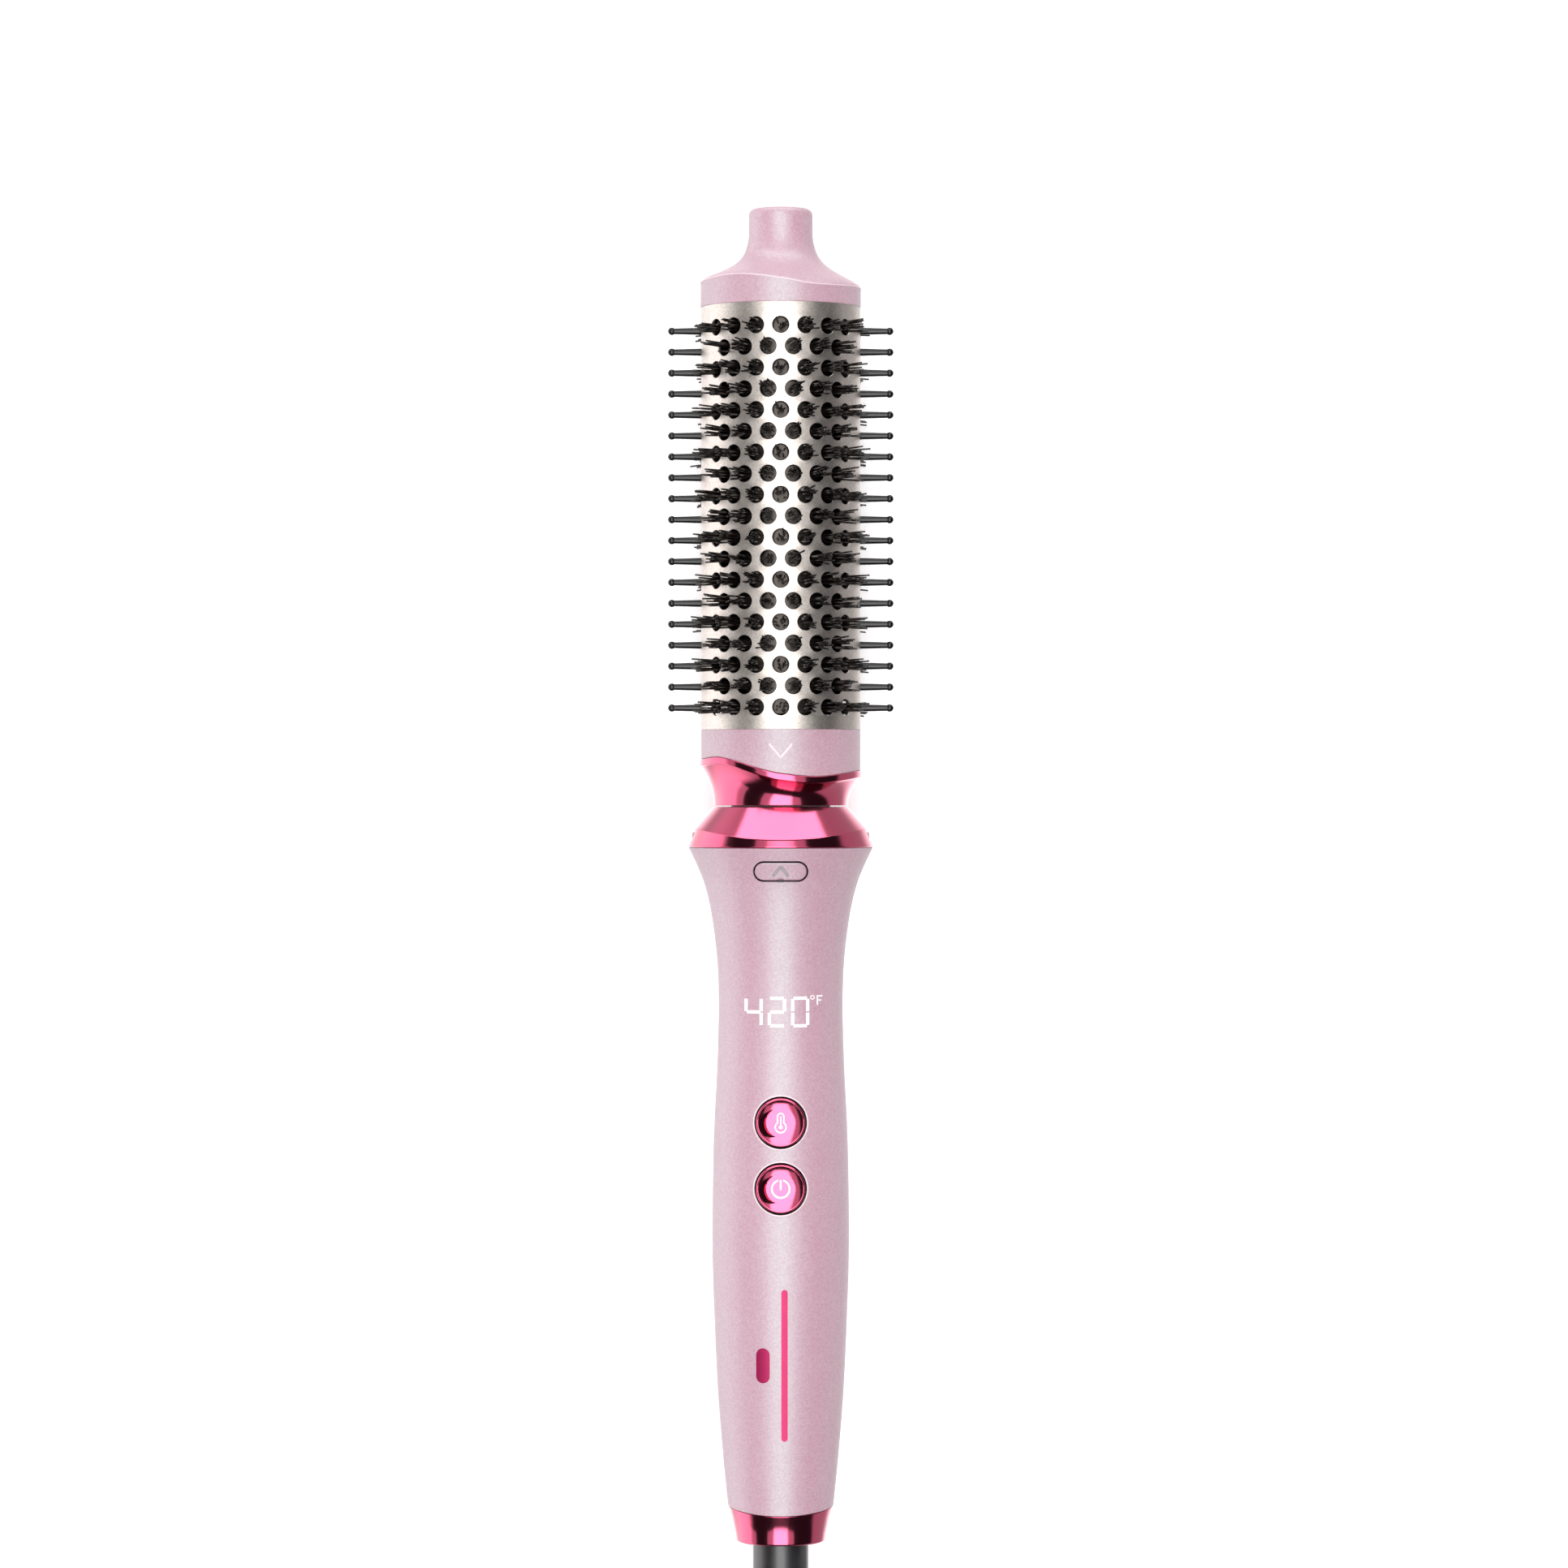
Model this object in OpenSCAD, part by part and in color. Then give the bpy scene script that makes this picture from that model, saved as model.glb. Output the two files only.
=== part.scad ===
// Heated round styling brush: a plug-in brush head on a handle with a swivel cord.
// The brush lies on its back. Its tip points along +Y and its buttons face +Z.
// It rests on the plane z = 0, and x = 0 is its middle plane.
// Profiles are lists of [radius, distance from the tip], in millimetres.

/* [Barrel] */
// Outer diameter of the metal barrel
barrel_d = 38; // [37.4:0.2:38.2]
// Wall thickness of the metal barrel
barrel_wall = 0.9; // [0.7:0.1:1]
// Rows of bristle holes along the barrel
hole_rows = 19; // [13:2:19]
// Distance between two rows
row_pitch = 5; // [4.6:0.1:5]
// Diameter of one bristle hole
hole_d = 3.9; // [3.4:0.1:4.2]
// Angle between neighbouring holes of a row
hole_step = 18; // [16:1:18]

/* [Bristles] */
// Distance of the bristle tips from the barrel's axis
tuft_reach = 23.8; // [23:0.2:24.6]
// Diameter of a tuft where it leaves its carrier
tuft_root_d = 1.5; // [1.2:0.1:2]
// Diameter of a tuft at its tip
tuft_tip_d = 2.5; // [1.6:0.1:2.8]
// Width over the ball tips of the side pins
pin_span = 53.9; // [52.5:0.1:55]
// Diameter of a ball tip
ball_d = 1.86; // [1.6:0.02:2.2]

/* [Plug-in joint] */
// Outer diameter of the head's spigot
spigot_d = 20.5; // [20.1:0.1:20.7]
// Distance between the two contact pins
pin_spacing = 8.8; // [8.4:0.1:9.2]
// Diameter of a contact pin
contact_d = 3.04; // [2.8:0.04:3.2]

/* [Handle] */
// Radius of the widest rim, which rests on the table
rim_r = 22.3; // [22.1:0.1:22.8]
// Wall thickness of the grip shells
grip_wall = 2.2; // [1.8:0.1:2.3]
// Diameter of the swivel stem
stem_d = 13.2; // [12.8:0.1:13.3]
// Length of the swivel stem outside the end ring
stem_out = 12; // [6:1:20]

/* [Buttons] */
// Diameter of the two plated buttons
button_d = 11.6; // [10.8:0.2:11.8]
// Distance between their centres
button_spacing = 15.6; // [14.6:0.2:16.4]
// Gap round a button
button_gap = 0.35; // [0.25:0.05:0.4]

/* [Cord] */
// Diameter of the mains cord
cord_d = 6; // [5.6:0.2:6.2]
// Length of the tapered strain relief
relief_len = 42; // [36:1:42]

/* [Hidden] */

pearl = "#dcb8c6";
plated = "#c2185b";
satin_metal = "#cfc6bd";
dark_plastic = "#2c2a2c";
bristle = "#1a1512";
steel = "#b8bbbd";
copper = "#b87333";
white_plastic = "#e8e4de";
board_green = "#2f6b45";
lit = "#ffffff";
rubber_grey = "#4b4a4c";

round_n = 96;
hole_n = 32;
film = 0.08;
hair = 0.1;

// Places along the brush, as distances from the tip
neck_start = 1.75;
neck_end = 7.2;
barrel_start = 24.2;
barrel_end = 124.9;
skirt = 3;
first_row = 29.7;
ring_end = 142.9;
collar_start = 143.3;
rim_at = 152.9;
shell_start = rim_at + hair;
spigot_end = 163.2;
contact_end = 170.2;
release_at = 158.45;
digits_at = 191.7;
temperature_at = 217.8;
power_at = temperature_at + button_spacing;
shell_end = 310.4;
end_ring_end = 319.3;
stem_end = end_ring_end + stem_out;
tip_y = stem_end / 2;
axis_h = rim_r;

// Radii
neck_r = 7.65;
barrel_r = barrel_d / 2;
barrel_bore = barrel_r - barrel_wall;
cap_r = barrel_r + 0.15;
skirt_r = barrel_bore - hair;
carrier_out = 17.1;
carrier_in = 15.7;
core_r = 15.2;
fin_r = 17.2;
spigot_r = spigot_d / 2;
spigot_bore = 8.6;
lug_r = 11.75;
lug_h = 2.9;
lug_at = 158.4;
liner_r = 12.9;
liner_bore = spigot_r + 0.4;
stem_r = stem_d / 2;
pin_x = pin_spacing / 2;
ball_r = ball_d / 2;
shaft_root_r = 0.93;
shaft_tip_r = 0.7;
shaft_hole_r = 1.15;

// The board, seen from the front, lies at this depth behind the grip's face
board_front = -7.6;
board_back = -6;
board_w = 16.8;
wire_r = 0.9;
// Stripped ends of the wires, where they drop to the board
leg_r = 0.7;

// Stations of the outlines that are blended by curves
flare_stations = [
    [neck_r, neck_end], [8, 9.2], [9.1, 12], [11.3, 14.5],
    [14.5, 16.6], [17.8, 18.6], [cap_r, 21]
];
grip_stations = [
    [rim_r - 0.3, shell_start], [20.1, 157], [18.45, 161], [17.1, 166], [16.05, 172],
    [15.15, 180], [14.82, 188], [14.85, 195], [15.2, 206], [15.9, 220], [16.25, 235],
    [16.3, 250], [15.9, 263], [15.05, 282], [13.8, 298], [12.55, shell_end]
];
// Edge of the wave ring, as [distance from the tip, place across]
wave_stations = [
    [132.1, -20], [131.5, -14.5], [134.2, -5], [135.3, 0], [136, 9.5], [134.5, 20]
];

function slope(p, i) =
    let (low = max(i - 1, 0), high = min(i + 1, len(p) - 1))
    (p[high][0] - p[low][0]) / (p[high][1] - p[low][1]);

// Height of a smooth curve through two stations at the share t between them
function blend(p, i, t) =
    let (span = p[i + 1][1] - p[i][1])
    p[i][0] * (2 * pow(t, 3) - 3 * pow(t, 2) + 1)
    + slope(p, i) * span * (pow(t, 3) - 2 * pow(t, 2) + t)
    + p[i + 1][0] * (3 * pow(t, 2) - 2 * pow(t, 3))
    + slope(p, i + 1) * span * (pow(t, 3) - pow(t, 2));

function smooth(p, steps) = [
    for (i = [0:len(p) - 2], k = [0:steps - 1])
        let (t = k / steps)
        [blend(p, i, t), p[i][1] + t * (p[i + 1][1] - p[i][1])],
    p[len(p) - 1]
];

function value_at(p, at) =
    let (i = min(len(p) - 2, max([for (k = [0:len(p) - 2]) p[k][1] <= at ? k : 0])))
    blend(p, i, (at - p[i][1]) / (p[i + 1][1] - p[i][1]));

function backwards(p) = [for (i = [len(p) - 1:-1:0]) p[i]];
function wider(p, by) = [for (q = p) [q[0] + by, q[1]]];
// Part of a profile between two distances from the tip
function between(p, from, to) = [for (q = p) if (q[1] >= from && q[1] <= to) q];

flare = smooth(flare_stations, 3);
grip = smooth(grip_stations, 3);

// From the upright frame, with the tip up and the front towards -Y, to the table
module laid() translate([0, tip_y, axis_h]) rotate([-90, 0, 0]) children();

module turned(profile, angle = 360) {
    rotate_extrude(angle = angle, $fn = round_n)
        polygon([for (p = profile) [p[0], -p[1]]]);
}

module tube(outer, inner, from, to) {
    turned([[outer, from], [outer, to], [inner, to], [inner, from]]);
}

module disc(radius, from, to) {
    translate([0, 0, -to]) cylinder(r = radius, h = to - from, $fn = round_n);
}

// A round bar along the brush at a place across and towards the back
module rod(radius, from, to, across = 0, back = 0) {
    translate([across, back, -to]) cylinder(r = radius, h = to - from, $fn = hole_n);
}

// A block between two places across, two places back and two distances from the tip
module block(across, back, along) {
    translate([across[0], back[0], -along[1]])
        cube([across[1] - across[0], back[1] - back[0], along[1] - along[0]]);
}

module both_sides() {
    children();
    mirror([1, 0, 0]) children();
}

// Turns +Z outwards at an angle from the front, with +Y towards the tip
module outwards(angle, at) {
    translate([0, 0, -at]) rotate([0, 0, angle]) rotate([90, 0, 0]) children();
}

// A part of a circle from the axis out, between two angles from the front
module sector(radius, from, to) {
    intersection() {
        circle(r = radius, $fn = round_n);
        polygon([
            [0, 0],
            2 * radius * [sin(from), -cos(from)],
            2 * radius * [sin(to), -cos(to)]
        ]);
    }
}

module stadium(width, height) {
    square([width - height, height], center = true);
    for (side = [-1, 1])
        translate([side * (width - height) / 2, 0]) circle(d = height, $fn = hole_n);
}

// An arrow head that points away from the tip
module chevron(width, height, line) {
    rise = line * sqrt(pow(width / 2, 2) + pow(height, 2)) / (width / 2);
    polygon([
        [-width / 2, height], [0, 0], [width / 2, height],
        [width / 2, height + rise], [0, rise], [-width / 2, height + rise]
    ]);
}

// Everything on the handle's side of the wavy edge
module past_wave(by = 0) {
    edge = smooth(wave_stations, 4);
    bottom = ring_end + 5;
    rotate([90, 0, 0]) linear_extrude(height = 60, center = true)
        polygon(concat([for (p = edge) [p[1], -p[0] - by]], [[20, -bottom], [-20, -bottom]]));
}

function holes_in(row) = 7 - row % 2;
function hole_angle(row, k) = (k - (holes_in(row) - 1) / 2) * hole_step;
function row_at(row) = first_row + row * row_pitch;

// The tufts that carry the head's weight: three in the first and the last full row
function rests(row, angle) = (row == 0 || row == hole_rows - 1) && abs(angle) <= hole_step;

// ---------- brush head ----------

module tip_cap() color(pearl) laid() {
    corner = neck_start;
    turned(concat(
        [for (a = [0:15:90]) [
            neck_r - corner + corner * sin(a),
            corner - corner * cos(a)
        ]],
        flare,
        [
            [cap_r, barrel_start], [skirt_r, barrel_start],
            [skirt_r, barrel_start + skirt], [skirt_r - 1.6, barrel_start + skirt],
            [skirt_r - 1.6, 20.6], [12, 18.6], [8, 14.6], [3.2, 14],
            [3.2, 25.4], [0.8, 25.4], [0.8, 16], [0, 16], [0, 0]
        ]
    ));
}

module tip_insulator() color(white_plastic) laid() tube(15.4, 1, 25.5, 29.5);

module barrel() color(satin_metal) laid() difference() {
    tube(barrel_r, barrel_bore, barrel_start, barrel_end);
    for (bank = [0, 180], row = [0:hole_rows - 1], k = [0:holes_in(row) - 1])
        outwards(bank + hole_angle(row, k), row_at(row))
            translate([0, 0, barrel_bore - 2]) cylinder(d = hole_d, h = 5, $fn = hole_n);
    for (side = [90, 270], row = [0:hole_rows - 1])
        outwards(side, row_at(row))
            translate([0, 0, barrel_bore - 2]) cylinder(r = shaft_hole_r, h = 5, $fn = hole_n);
}

module bristle_carrier(bank) color(dark_plastic) laid() {
    half = 59;
    rotate([0, 0, bank - 90 - half])
        turned([
            [carrier_out, barrel_start + skirt + 0.3], [carrier_out, 121.2],
            [carrier_in, 121.2], [carrier_in, barrel_start + skirt + 0.3]
        ], 2 * half);
}

module front_bristle_carrier() bristle_carrier(0);
module rear_bristle_carrier() bristle_carrier(180);

module tuft(tip) {
    root = carrier_out - 0.9;
    translate([0, 0, root])
        cylinder(d1 = tuft_root_d, d2 = tuft_tip_d, h = tip - root, $fn = hole_n);
}

// Tufts that face down end on the table
function down_reach(angle) =
    min(tuft_reach, (axis_h - tuft_tip_d / 2 * sin(abs(angle))) / cos(angle));

module front_tufts() color(bristle) laid()
    for (row = [0:hole_rows - 1], k = [0:holes_in(row) - 1])
        outwards(hole_angle(row, k), row_at(row)) tuft(tuft_reach);

module rear_tuft_set(resting) color(bristle) laid()
    for (row = [0:hole_rows - 1], k = [0:holes_in(row) - 1])
        let (angle = hole_angle(row, k))
            if (rests(row, angle) == resting)
                outwards(180 + angle, row_at(row)) tuft(down_reach(angle));

module rear_tufts() rear_tuft_set(false);
module resting_tufts() rear_tuft_set(true);

module pin_rail(side) color(bristle) laid() {
    half = 5.5;
    ball_at = pin_span / 2 - ball_r;
    root = carrier_out - 0.5;
    rotate([0, 0, side - 90 - half])
        turned([
            [carrier_out, barrel_start + skirt + 0.3], [carrier_out, 121.2],
            [carrier_in, 121.2], [carrier_in, barrel_start + skirt + 0.3]
        ], 2 * half);
    for (row = [0:hole_rows - 1])
        outwards(side, row_at(row)) {
            translate([0, 0, root])
                cylinder(r1 = shaft_root_r, r2 = shaft_tip_r, h = ball_at - root, $fn = hole_n);
            translate([0, 0, ball_at]) sphere(r = ball_r, $fn = hole_n);
        }
}

module left_pin_rail() pin_rail(270);
module right_pin_rail() pin_rail(90);

// One half of the core that carries heat from the plate to the barrel
module heat_spreader(channel_r) {
    translate([0, 0, -118]) linear_extrude(height = 86.5) difference() {
        union() {
            circle(r = core_r, $fn = round_n);
            sector(fin_r, 64, 80);
            sector(fin_r, -80, -64);
        }
        translate([-20, -1.6]) square([40, 40]);
        translate([0, -8]) circle(r = channel_r, $fn = hole_n);
        for (side = [-1, 1]) translate([side * 8, -7]) circle(r = 2.6, $fn = hole_n);
    }
}

module front_heat_spreader() color(steel) laid() heat_spreader(1.5);
module rear_heat_spreader() color(steel) laid() rotate([0, 0, 180]) heat_spreader(2.1);

module heater_plate() color(white_plastic) laid() {
    block([-10, 10], [-1.5, 1.5], [33, 117]);
    both_sides() block([pin_x - 1.5, pin_x + 1.5], [-0.3, 0.3], [117, 119.5]);
}

module thermistor() color(copper) laid() rod(1.3, 70, 80, back = -8);
module thermal_fuse() color(steel) laid() rod(1.9, 66, 78, back = 8);

module heater_wires() color(white_plastic) laid()
    both_sides() rod(wire_r, 119.6, 150, across = pin_x);

module barrel_collar() color(pearl) laid() difference() {
    union() {
        tube(skirt_r, skirt_r - 1.6, barrel_end - skirt, barrel_end + 1);
        difference() {
            tube(barrel_r, 15, barrel_end, ring_end - 2);
            past_wave();
        }
        tube(15.1, 13.6, barrel_end + 1.5, ring_end - 1.5);
        disc(13.7, 134.5, 137);
    }
    both_sides() rod(1.5, 133, 138, across = pin_x);
    for (back = [-6, 6]) rod(0.95, 133, 138, back = back);
    outwards(0, 131.6) translate([0, 0, barrel_r - 0.25])
        linear_extrude(height = 2) chevron(5.2, 3, 0.3);
}

module wave_ring() color(plated) laid() {
    bore = 15.2;
    intersection() {
        union() {
            turned([
                [bore, 130], [barrel_r, 130], [barrel_r, 134.2], [18, 135.8], [17.3, 137.5],
                [16.7, 139.4], [16.3, 141.2], [16, ring_end], [bore, ring_end]
            ]);
            difference() {
                tube(barrel_r + 0.4, bore + 1, 130, 139);
                past_wave(1.6);
            }
            tube(bore + 0.4, spigot_r + 0.15, ring_end - 1.3, ring_end);
        }
        past_wave();
    }
}

module spigot() color(pearl) laid() {
    difference() {
        union() {
            disc(13.4, 137.1, 139.1);
            disc(spigot_r, 139, 161.3);
            disc(11.8, ring_end, ring_end + 2.2);
            intersection() {
                tube(lug_r, 9.5, lug_at, lug_at + lug_h);
                block([-15, 15], [-2.5, 2.5], [lug_at - 1, lug_at + lug_h + 1]);
            }
        }
        disc(spigot_bore, 139.1, 162);
        both_sides() rod(1.5, 136, 140, across = pin_x);
        for (back = [-6, 6]) rod(1.1, 136, 140, back = back);
        block([-4.25, 4.25], [-13, -spigot_r], [ring_end - 1, ring_end + 3]);
    }
}

module spigot_lid() color(pearl) laid() difference() {
    edge = 0.8;
    union() {
        turned(concat(
            [[0, 160], [spigot_bore - hair, 160], [spigot_bore - hair, 161.3], [spigot_r, 161.3]],
            [for (a = [0:22.5:90]) [
                spigot_r - edge + edge * cos(a),
                spigot_end - edge + edge * sin(a)
            ]],
            [[0, spigot_end]]
        ));
        block([-2.6, 2.6], [-0.8, 0.8], [spigot_end - 0.5, spigot_end + 1.4]);
    }
    both_sides() rod(contact_d / 2 + 0.03, 159, spigot_end + 2, across = pin_x);
}

module contact_pins() color(steel) laid() both_sides() {
    radius = contact_d / 2;
    rod(radius, 150.1, contact_end - radius, across = pin_x);
    rod(2.2, 157.9, 159.9, across = pin_x);
    translate([pin_x, 0, radius - contact_end]) sphere(r = radius, $fn = hole_n);
}

module head_screws() color(steel) laid() {
    rod(1.8, 29.6, 31, 0);
    rod(0.75, 18, 29.8, 0);
    for (back = [-6, 6]) {
        rod(1.8, 139.2, 140.6, back = back);
        rod(0.9, 134.6, 139.4, back = back);
    }
}

// ---------- handle ----------

module lock_collar() color(plated) laid() difference() {
    turned([
        [16.1, collar_start], [17.1, 144.5], [18.15, 145.7], [19.35, 147], [20.7, 148.5],
        [rim_r, rim_at], [20.6, rim_at], [18.9, 149.4], [17, 147.4], [14.9, 146.4],
        [14.9, 145.5], [12.15, 145.5], [12.15, collar_start]
    ]);
    both_sides() block([17.5, 25], [-3, 3], [149.1, 151.6]);
}

module socket_liner() color(pearl) laid() difference() {
    union() {
        disc(14.6, 145.6, 146.3);
        disc(liner_r, 146, 167.4);
        both_sides() block([liner_bore + 1, 21.1], [-2.7, 2.7], [149.4, 151.3]);
    }
    disc(liner_bore, 145, 164.9);
    both_sides() {
        block([liner_bore - 1, 12.2], [-2.9, 2.9], [145, 163]);
        block([10.65, 12.1], [-14, 14], [156.9, 158.35]);
        rod(2.45, 164, 168, across = pin_x);
    }
}

module socket_contacts() color(copper) laid() both_sides() difference() {
    rod(2.4, 165, 174, across = pin_x);
    rod(contact_d / 2 + 0.08, 164, 172, across = pin_x);
}

module socket_leads() color(copper) laid() both_sides() {
    rod(wire_r, 174.1, 182 + wire_r, across = pin_x);
    translate([pin_x, 0, -182]) rotate([90, 0, 0])
        cylinder(r = leg_r, h = -board_back, $fn = hole_n);
}

// A spring wire round the liner's back, with one leg on each side that lies in front of the lugs
module latch_clip() color(steel) laid() {
    leg_x = 11.35;
    at = 157.65;
    wire = 0.5;
    bend_r = 0.6;
    round_r = 16.6;
    front = -10;
    back = sqrt(pow(round_r, 2) - pow(leg_x, 2));
    both_sides() {
        translate([leg_x, front, -at])
            rotate([-90, 0, 0]) cylinder(r = wire, h = back - front, $fn = hole_n);
        translate([leg_x, back, -at]) sphere(r = bend_r, $fn = hole_n);
    }
    half = asin(leg_x / round_r);
    translate([0, 0, -at]) rotate([0, 0, 90 - half])
        rotate_extrude(angle = 2 * half, $fn = round_n)
            translate([round_r, 0]) circle(r = wire, $fn = hole_n);
}

module grip_body() turned(concat(grip, backwards(wider(grip, -grip_wall))));

module front_shell() color(pearl) laid() difference() {
    intersection() {
        grip_body();
        block([-30, 30], [-30, 0], [150, 315]);
    }
    outwards(0, release_at) translate([0, 0, 12])
        linear_extrude(height = 15) stadium(13, 4.9);
    for (at = [temperature_at, power_at])
        outwards(0, at) translate([0, 0, 9])
            cylinder(d = button_d + 2 * button_gap, h = 12, $fn = round_n);
}

module rear_shell() color(pearl) laid() intersection() {
    grip_body();
    block([-30, 30], [0, 30], [150, 315]);
}

module display_module() color(dark_plastic) laid()
    block([-7.9, 7.9], [-9.6, board_front - 0.05], [digits_at - 5.5, digits_at + 5.5]);

// Seven-segment digit, centred, drawn from the list of its lit segments
module digit(segments) {
    width = 4.35;
    height = 7.3;
    line = 0.79;
    gap = 0.16;
    bar = width - line - 2 * gap;
    half = height / 2 - line / 2;
    arm = half - 2 * gap;
    for (s = segments) {
        if (s == "a") translate([0, half]) square([bar, line], center = true);
        if (s == "g") square([bar, line], center = true);
        if (s == "d") translate([0, -half]) square([bar, line], center = true);
        for (column = [["f", -1, 1], ["b", 1, 1], ["e", -1, -1], ["c", 1, -1]])
            if (s == column[0])
                translate([column[1] * (width - line) / 2, column[2] * half / 2])
                    square([line, arm], center = true);
    }
}

module reading() {
    pitch = 5.5;
    translate([-6.4, 0]) digit(["f", "g", "b", "c"]);
    translate([-6.4 + pitch, 0]) digit(["a", "b", "g", "e", "d"]);
    translate([-6.4 + 2 * pitch, 0]) digit(["a", "b", "c", "d", "e", "f"]);
    translate([7.5, 3.4]) difference() {
        circle(r = 0.55, $fn = hole_n);
        circle(r = 0.3, $fn = hole_n);
    }
    translate([8.5, 1.6]) {
        square([0.35, 2.3]);
        translate([0, 1.95]) square([1.4, 0.35]);
        translate([0, 0.95]) square([1.1, 0.35]);
    }
}

module display_digits() color(lit) laid() intersection() {
    outwards(0, digits_at) translate([0, 0, 8]) linear_extrude(height = 10) reading();
    turned(concat(
        between(wider(grip, film), 184, 201),
        backwards(between(grip, 184, 201))
    ));
}

module control_board() color(board_green) laid() difference() {
    block([-board_w / 2, board_w / 2], [board_front, board_back], [178, 266]);
    both_sides() for (at = [202, 264])
        outwards(0, at) translate([7, 0, 5]) cylinder(r = 0.65, h = 4, $fn = hole_n);
}

module tact_switches() color(dark_plastic) laid()
    for (at = [temperature_at, power_at]) {
        block([-3, 3], [-9, board_front], [at - 3, at + 3]);
        outwards(0, at) translate([0, 0, 8.9]) cylinder(r = 1.6, h = 0.7, $fn = hole_n);
    }

module power_parts() color(dark_plastic) laid() {
    block([-5.5, 1], [board_back, 3], [238, 250]);
    block([-4, 4], [board_back, -2], [252, 256]);
    rod(3, 238, 249, across = 4.6, back = -2.4);
}

module chassis() color(white_plastic) laid() difference() {
    union() {
        block([-9.6, 9.6], [-5, -3.8], [186, 268]);
        both_sides() {
            block([8.7, 9.6], [-7.3, -4], [186, 268]);
            for (at = [202, 264])
                outwards(0, at) translate([7, 0, 4.5]) cylinder(r = 1.3, h = 1.5, $fn = hole_n);
        }
    }
    block([-5.7, 7.9], [-7, 0], [234, 262.3]);
    block([-3.3, 3.3], [-7, 0], [262, 264.5]);
    both_sides() for (at = [202, 264])
        outwards(0, at) translate([7, 0, 3]) cylinder(r = 0.65, h = 4, $fn = hole_n);
}

module board_screws() color(steel) laid() both_sides() for (at = [202, 264])
    outwards(0, at) translate([7, 0, 0]) {
        translate([0, 0, -board_front]) cylinder(r = 1.3, h = 0.9, $fn = hole_n);
        translate([0, 0, 4]) cylinder(r = 0.6, h = 3.7, $fn = hole_n);
    }

module end_ring() color(plated) laid() {
    edge = 0.8;
    turned(concat(
        [
            [9.9, 303.6], [9.9, shell_end], [12.5, shell_end + 0.05], [11.85, 312.5],
            [11.4, 313.9], [11.05, 315.6], [10.7, 317.6]
        ],
        [for (a = [0:22.5:90]) [
            10.6 - edge + edge * cos(a),
            end_ring_end - edge + edge * sin(a)
        ]],
        [
            [stem_r + 0.35, end_ring_end], [stem_r + 0.35, 316.8],
            [9.15, 315.5], [9.15, 303.6]
        ]
    ));
}

module swivel_housing() color(dark_plastic) laid() turned([
    [4.6, 290], [9, 290], [9, 300], [10.7, 300], [10.7, 303], [9, 303], [9, 309],
    [stem_r + 0.05, 309], [stem_r + 0.05, 297.2], [7.9, 297.2], [7.9, 293], [4.6, 293]
]);

module slip_brushes() color(copper) laid() {
    block([-3, 3], [6.5, 8.5], [283, 289.9]);
    for (at = [284.2, 287.7]) block([-1.5, 1.5], [4.6, 7], [at, at + 1.6]);
}

module mains_wires() color(copper) laid() both_sides() {
    across = 2.2;
    back = 7.5;
    rod(wire_r, 263 - wire_r, 282.9, across = across, back = back);
    translate([across, back, -263]) rotate([90, 0, 0])
        cylinder(r = leg_r, h = back - board_back, $fn = hole_n);
}

// ---------- buttons ----------

module release_button() color(pearl) laid() difference() {
    intersection() {
        outwards(0, release_at) translate([0, 0, 15.25])
            linear_extrude(height = 10) stadium(12.26, 4.16);
        turned(concat([[0, shell_start]], wider(grip, -0.1), [[0, shell_end]]));
    }
    outwards(0, release_at) intersection() {
        translate([0, -0.8, 0]) linear_extrude(height = 30) mirror([0, 1]) translate([0, -1.5])
            chevron(3.4, 1.9, 0.25);
        rotate([-24, 0, 0]) translate([-5, -5, 17.62]) cube([10, 10, 5]);
    }
}

module latch_yoke() color(dark_plastic) laid() {
    block([-7.6, 7.6], [-15.2, -14.3], [155.3, 158.4]);
    both_sides() {
        block([6.6, 7.6], [-14.8, -12.8], [157, 158.4]);
        block([6.6, 10.6], [-13.6, -12.8], [157, 158.4]);
        block([9.2, 10.6], [-13.6, -10.4], [157, 158.4]);
    }
}

// Two short coil springs under the yoke, each drawn as closed turns
module release_springs() color(steel) laid() both_sides() for (turn = [0:3])
    translate([5.2, -14.1 + turn * 0.5, -156.4]) rotate([90, 0, 0])
        rotate_extrude($fn = hole_n) translate([1, 0]) circle(r = 0.14, $fn = 16);

function dish_r() = (pow(5.2, 2) + pow(0.9, 2)) / (2 * 0.9);
function button_top(at) = value_at(grip_stations, at) + 0.1;

module plated_button(at) color(plated) laid() outwards(0, at) difference() {
    top = button_top(at);
    union() {
        translate([0, 0, 10.5]) cylinder(d = button_d, h = top - 10.5, $fn = round_n);
        translate([0, 0, 10.4]) cylinder(r = button_d / 2 + 1, h = 0.9, $fn = round_n);
    }
    translate([0, 0, top - 0.9 + dish_r()]) sphere(r = dish_r(), $fn = round_n);
}

// A print on the bottom of the dish
module button_print(at) color(lit) laid() outwards(0, at) {
    centre = button_top(at) - 0.9 + dish_r();
    intersection() {
        translate([0, 0, 10]) linear_extrude(height = 10) children();
        translate([0, 0, centre]) difference() {
            sphere(r = dish_r(), $fn = round_n);
            sphere(r = dish_r() - film, $fn = round_n);
        }
    }
}

module temperature_button() plated_button(temperature_at);
module power_button() plated_button(power_at);

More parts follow.
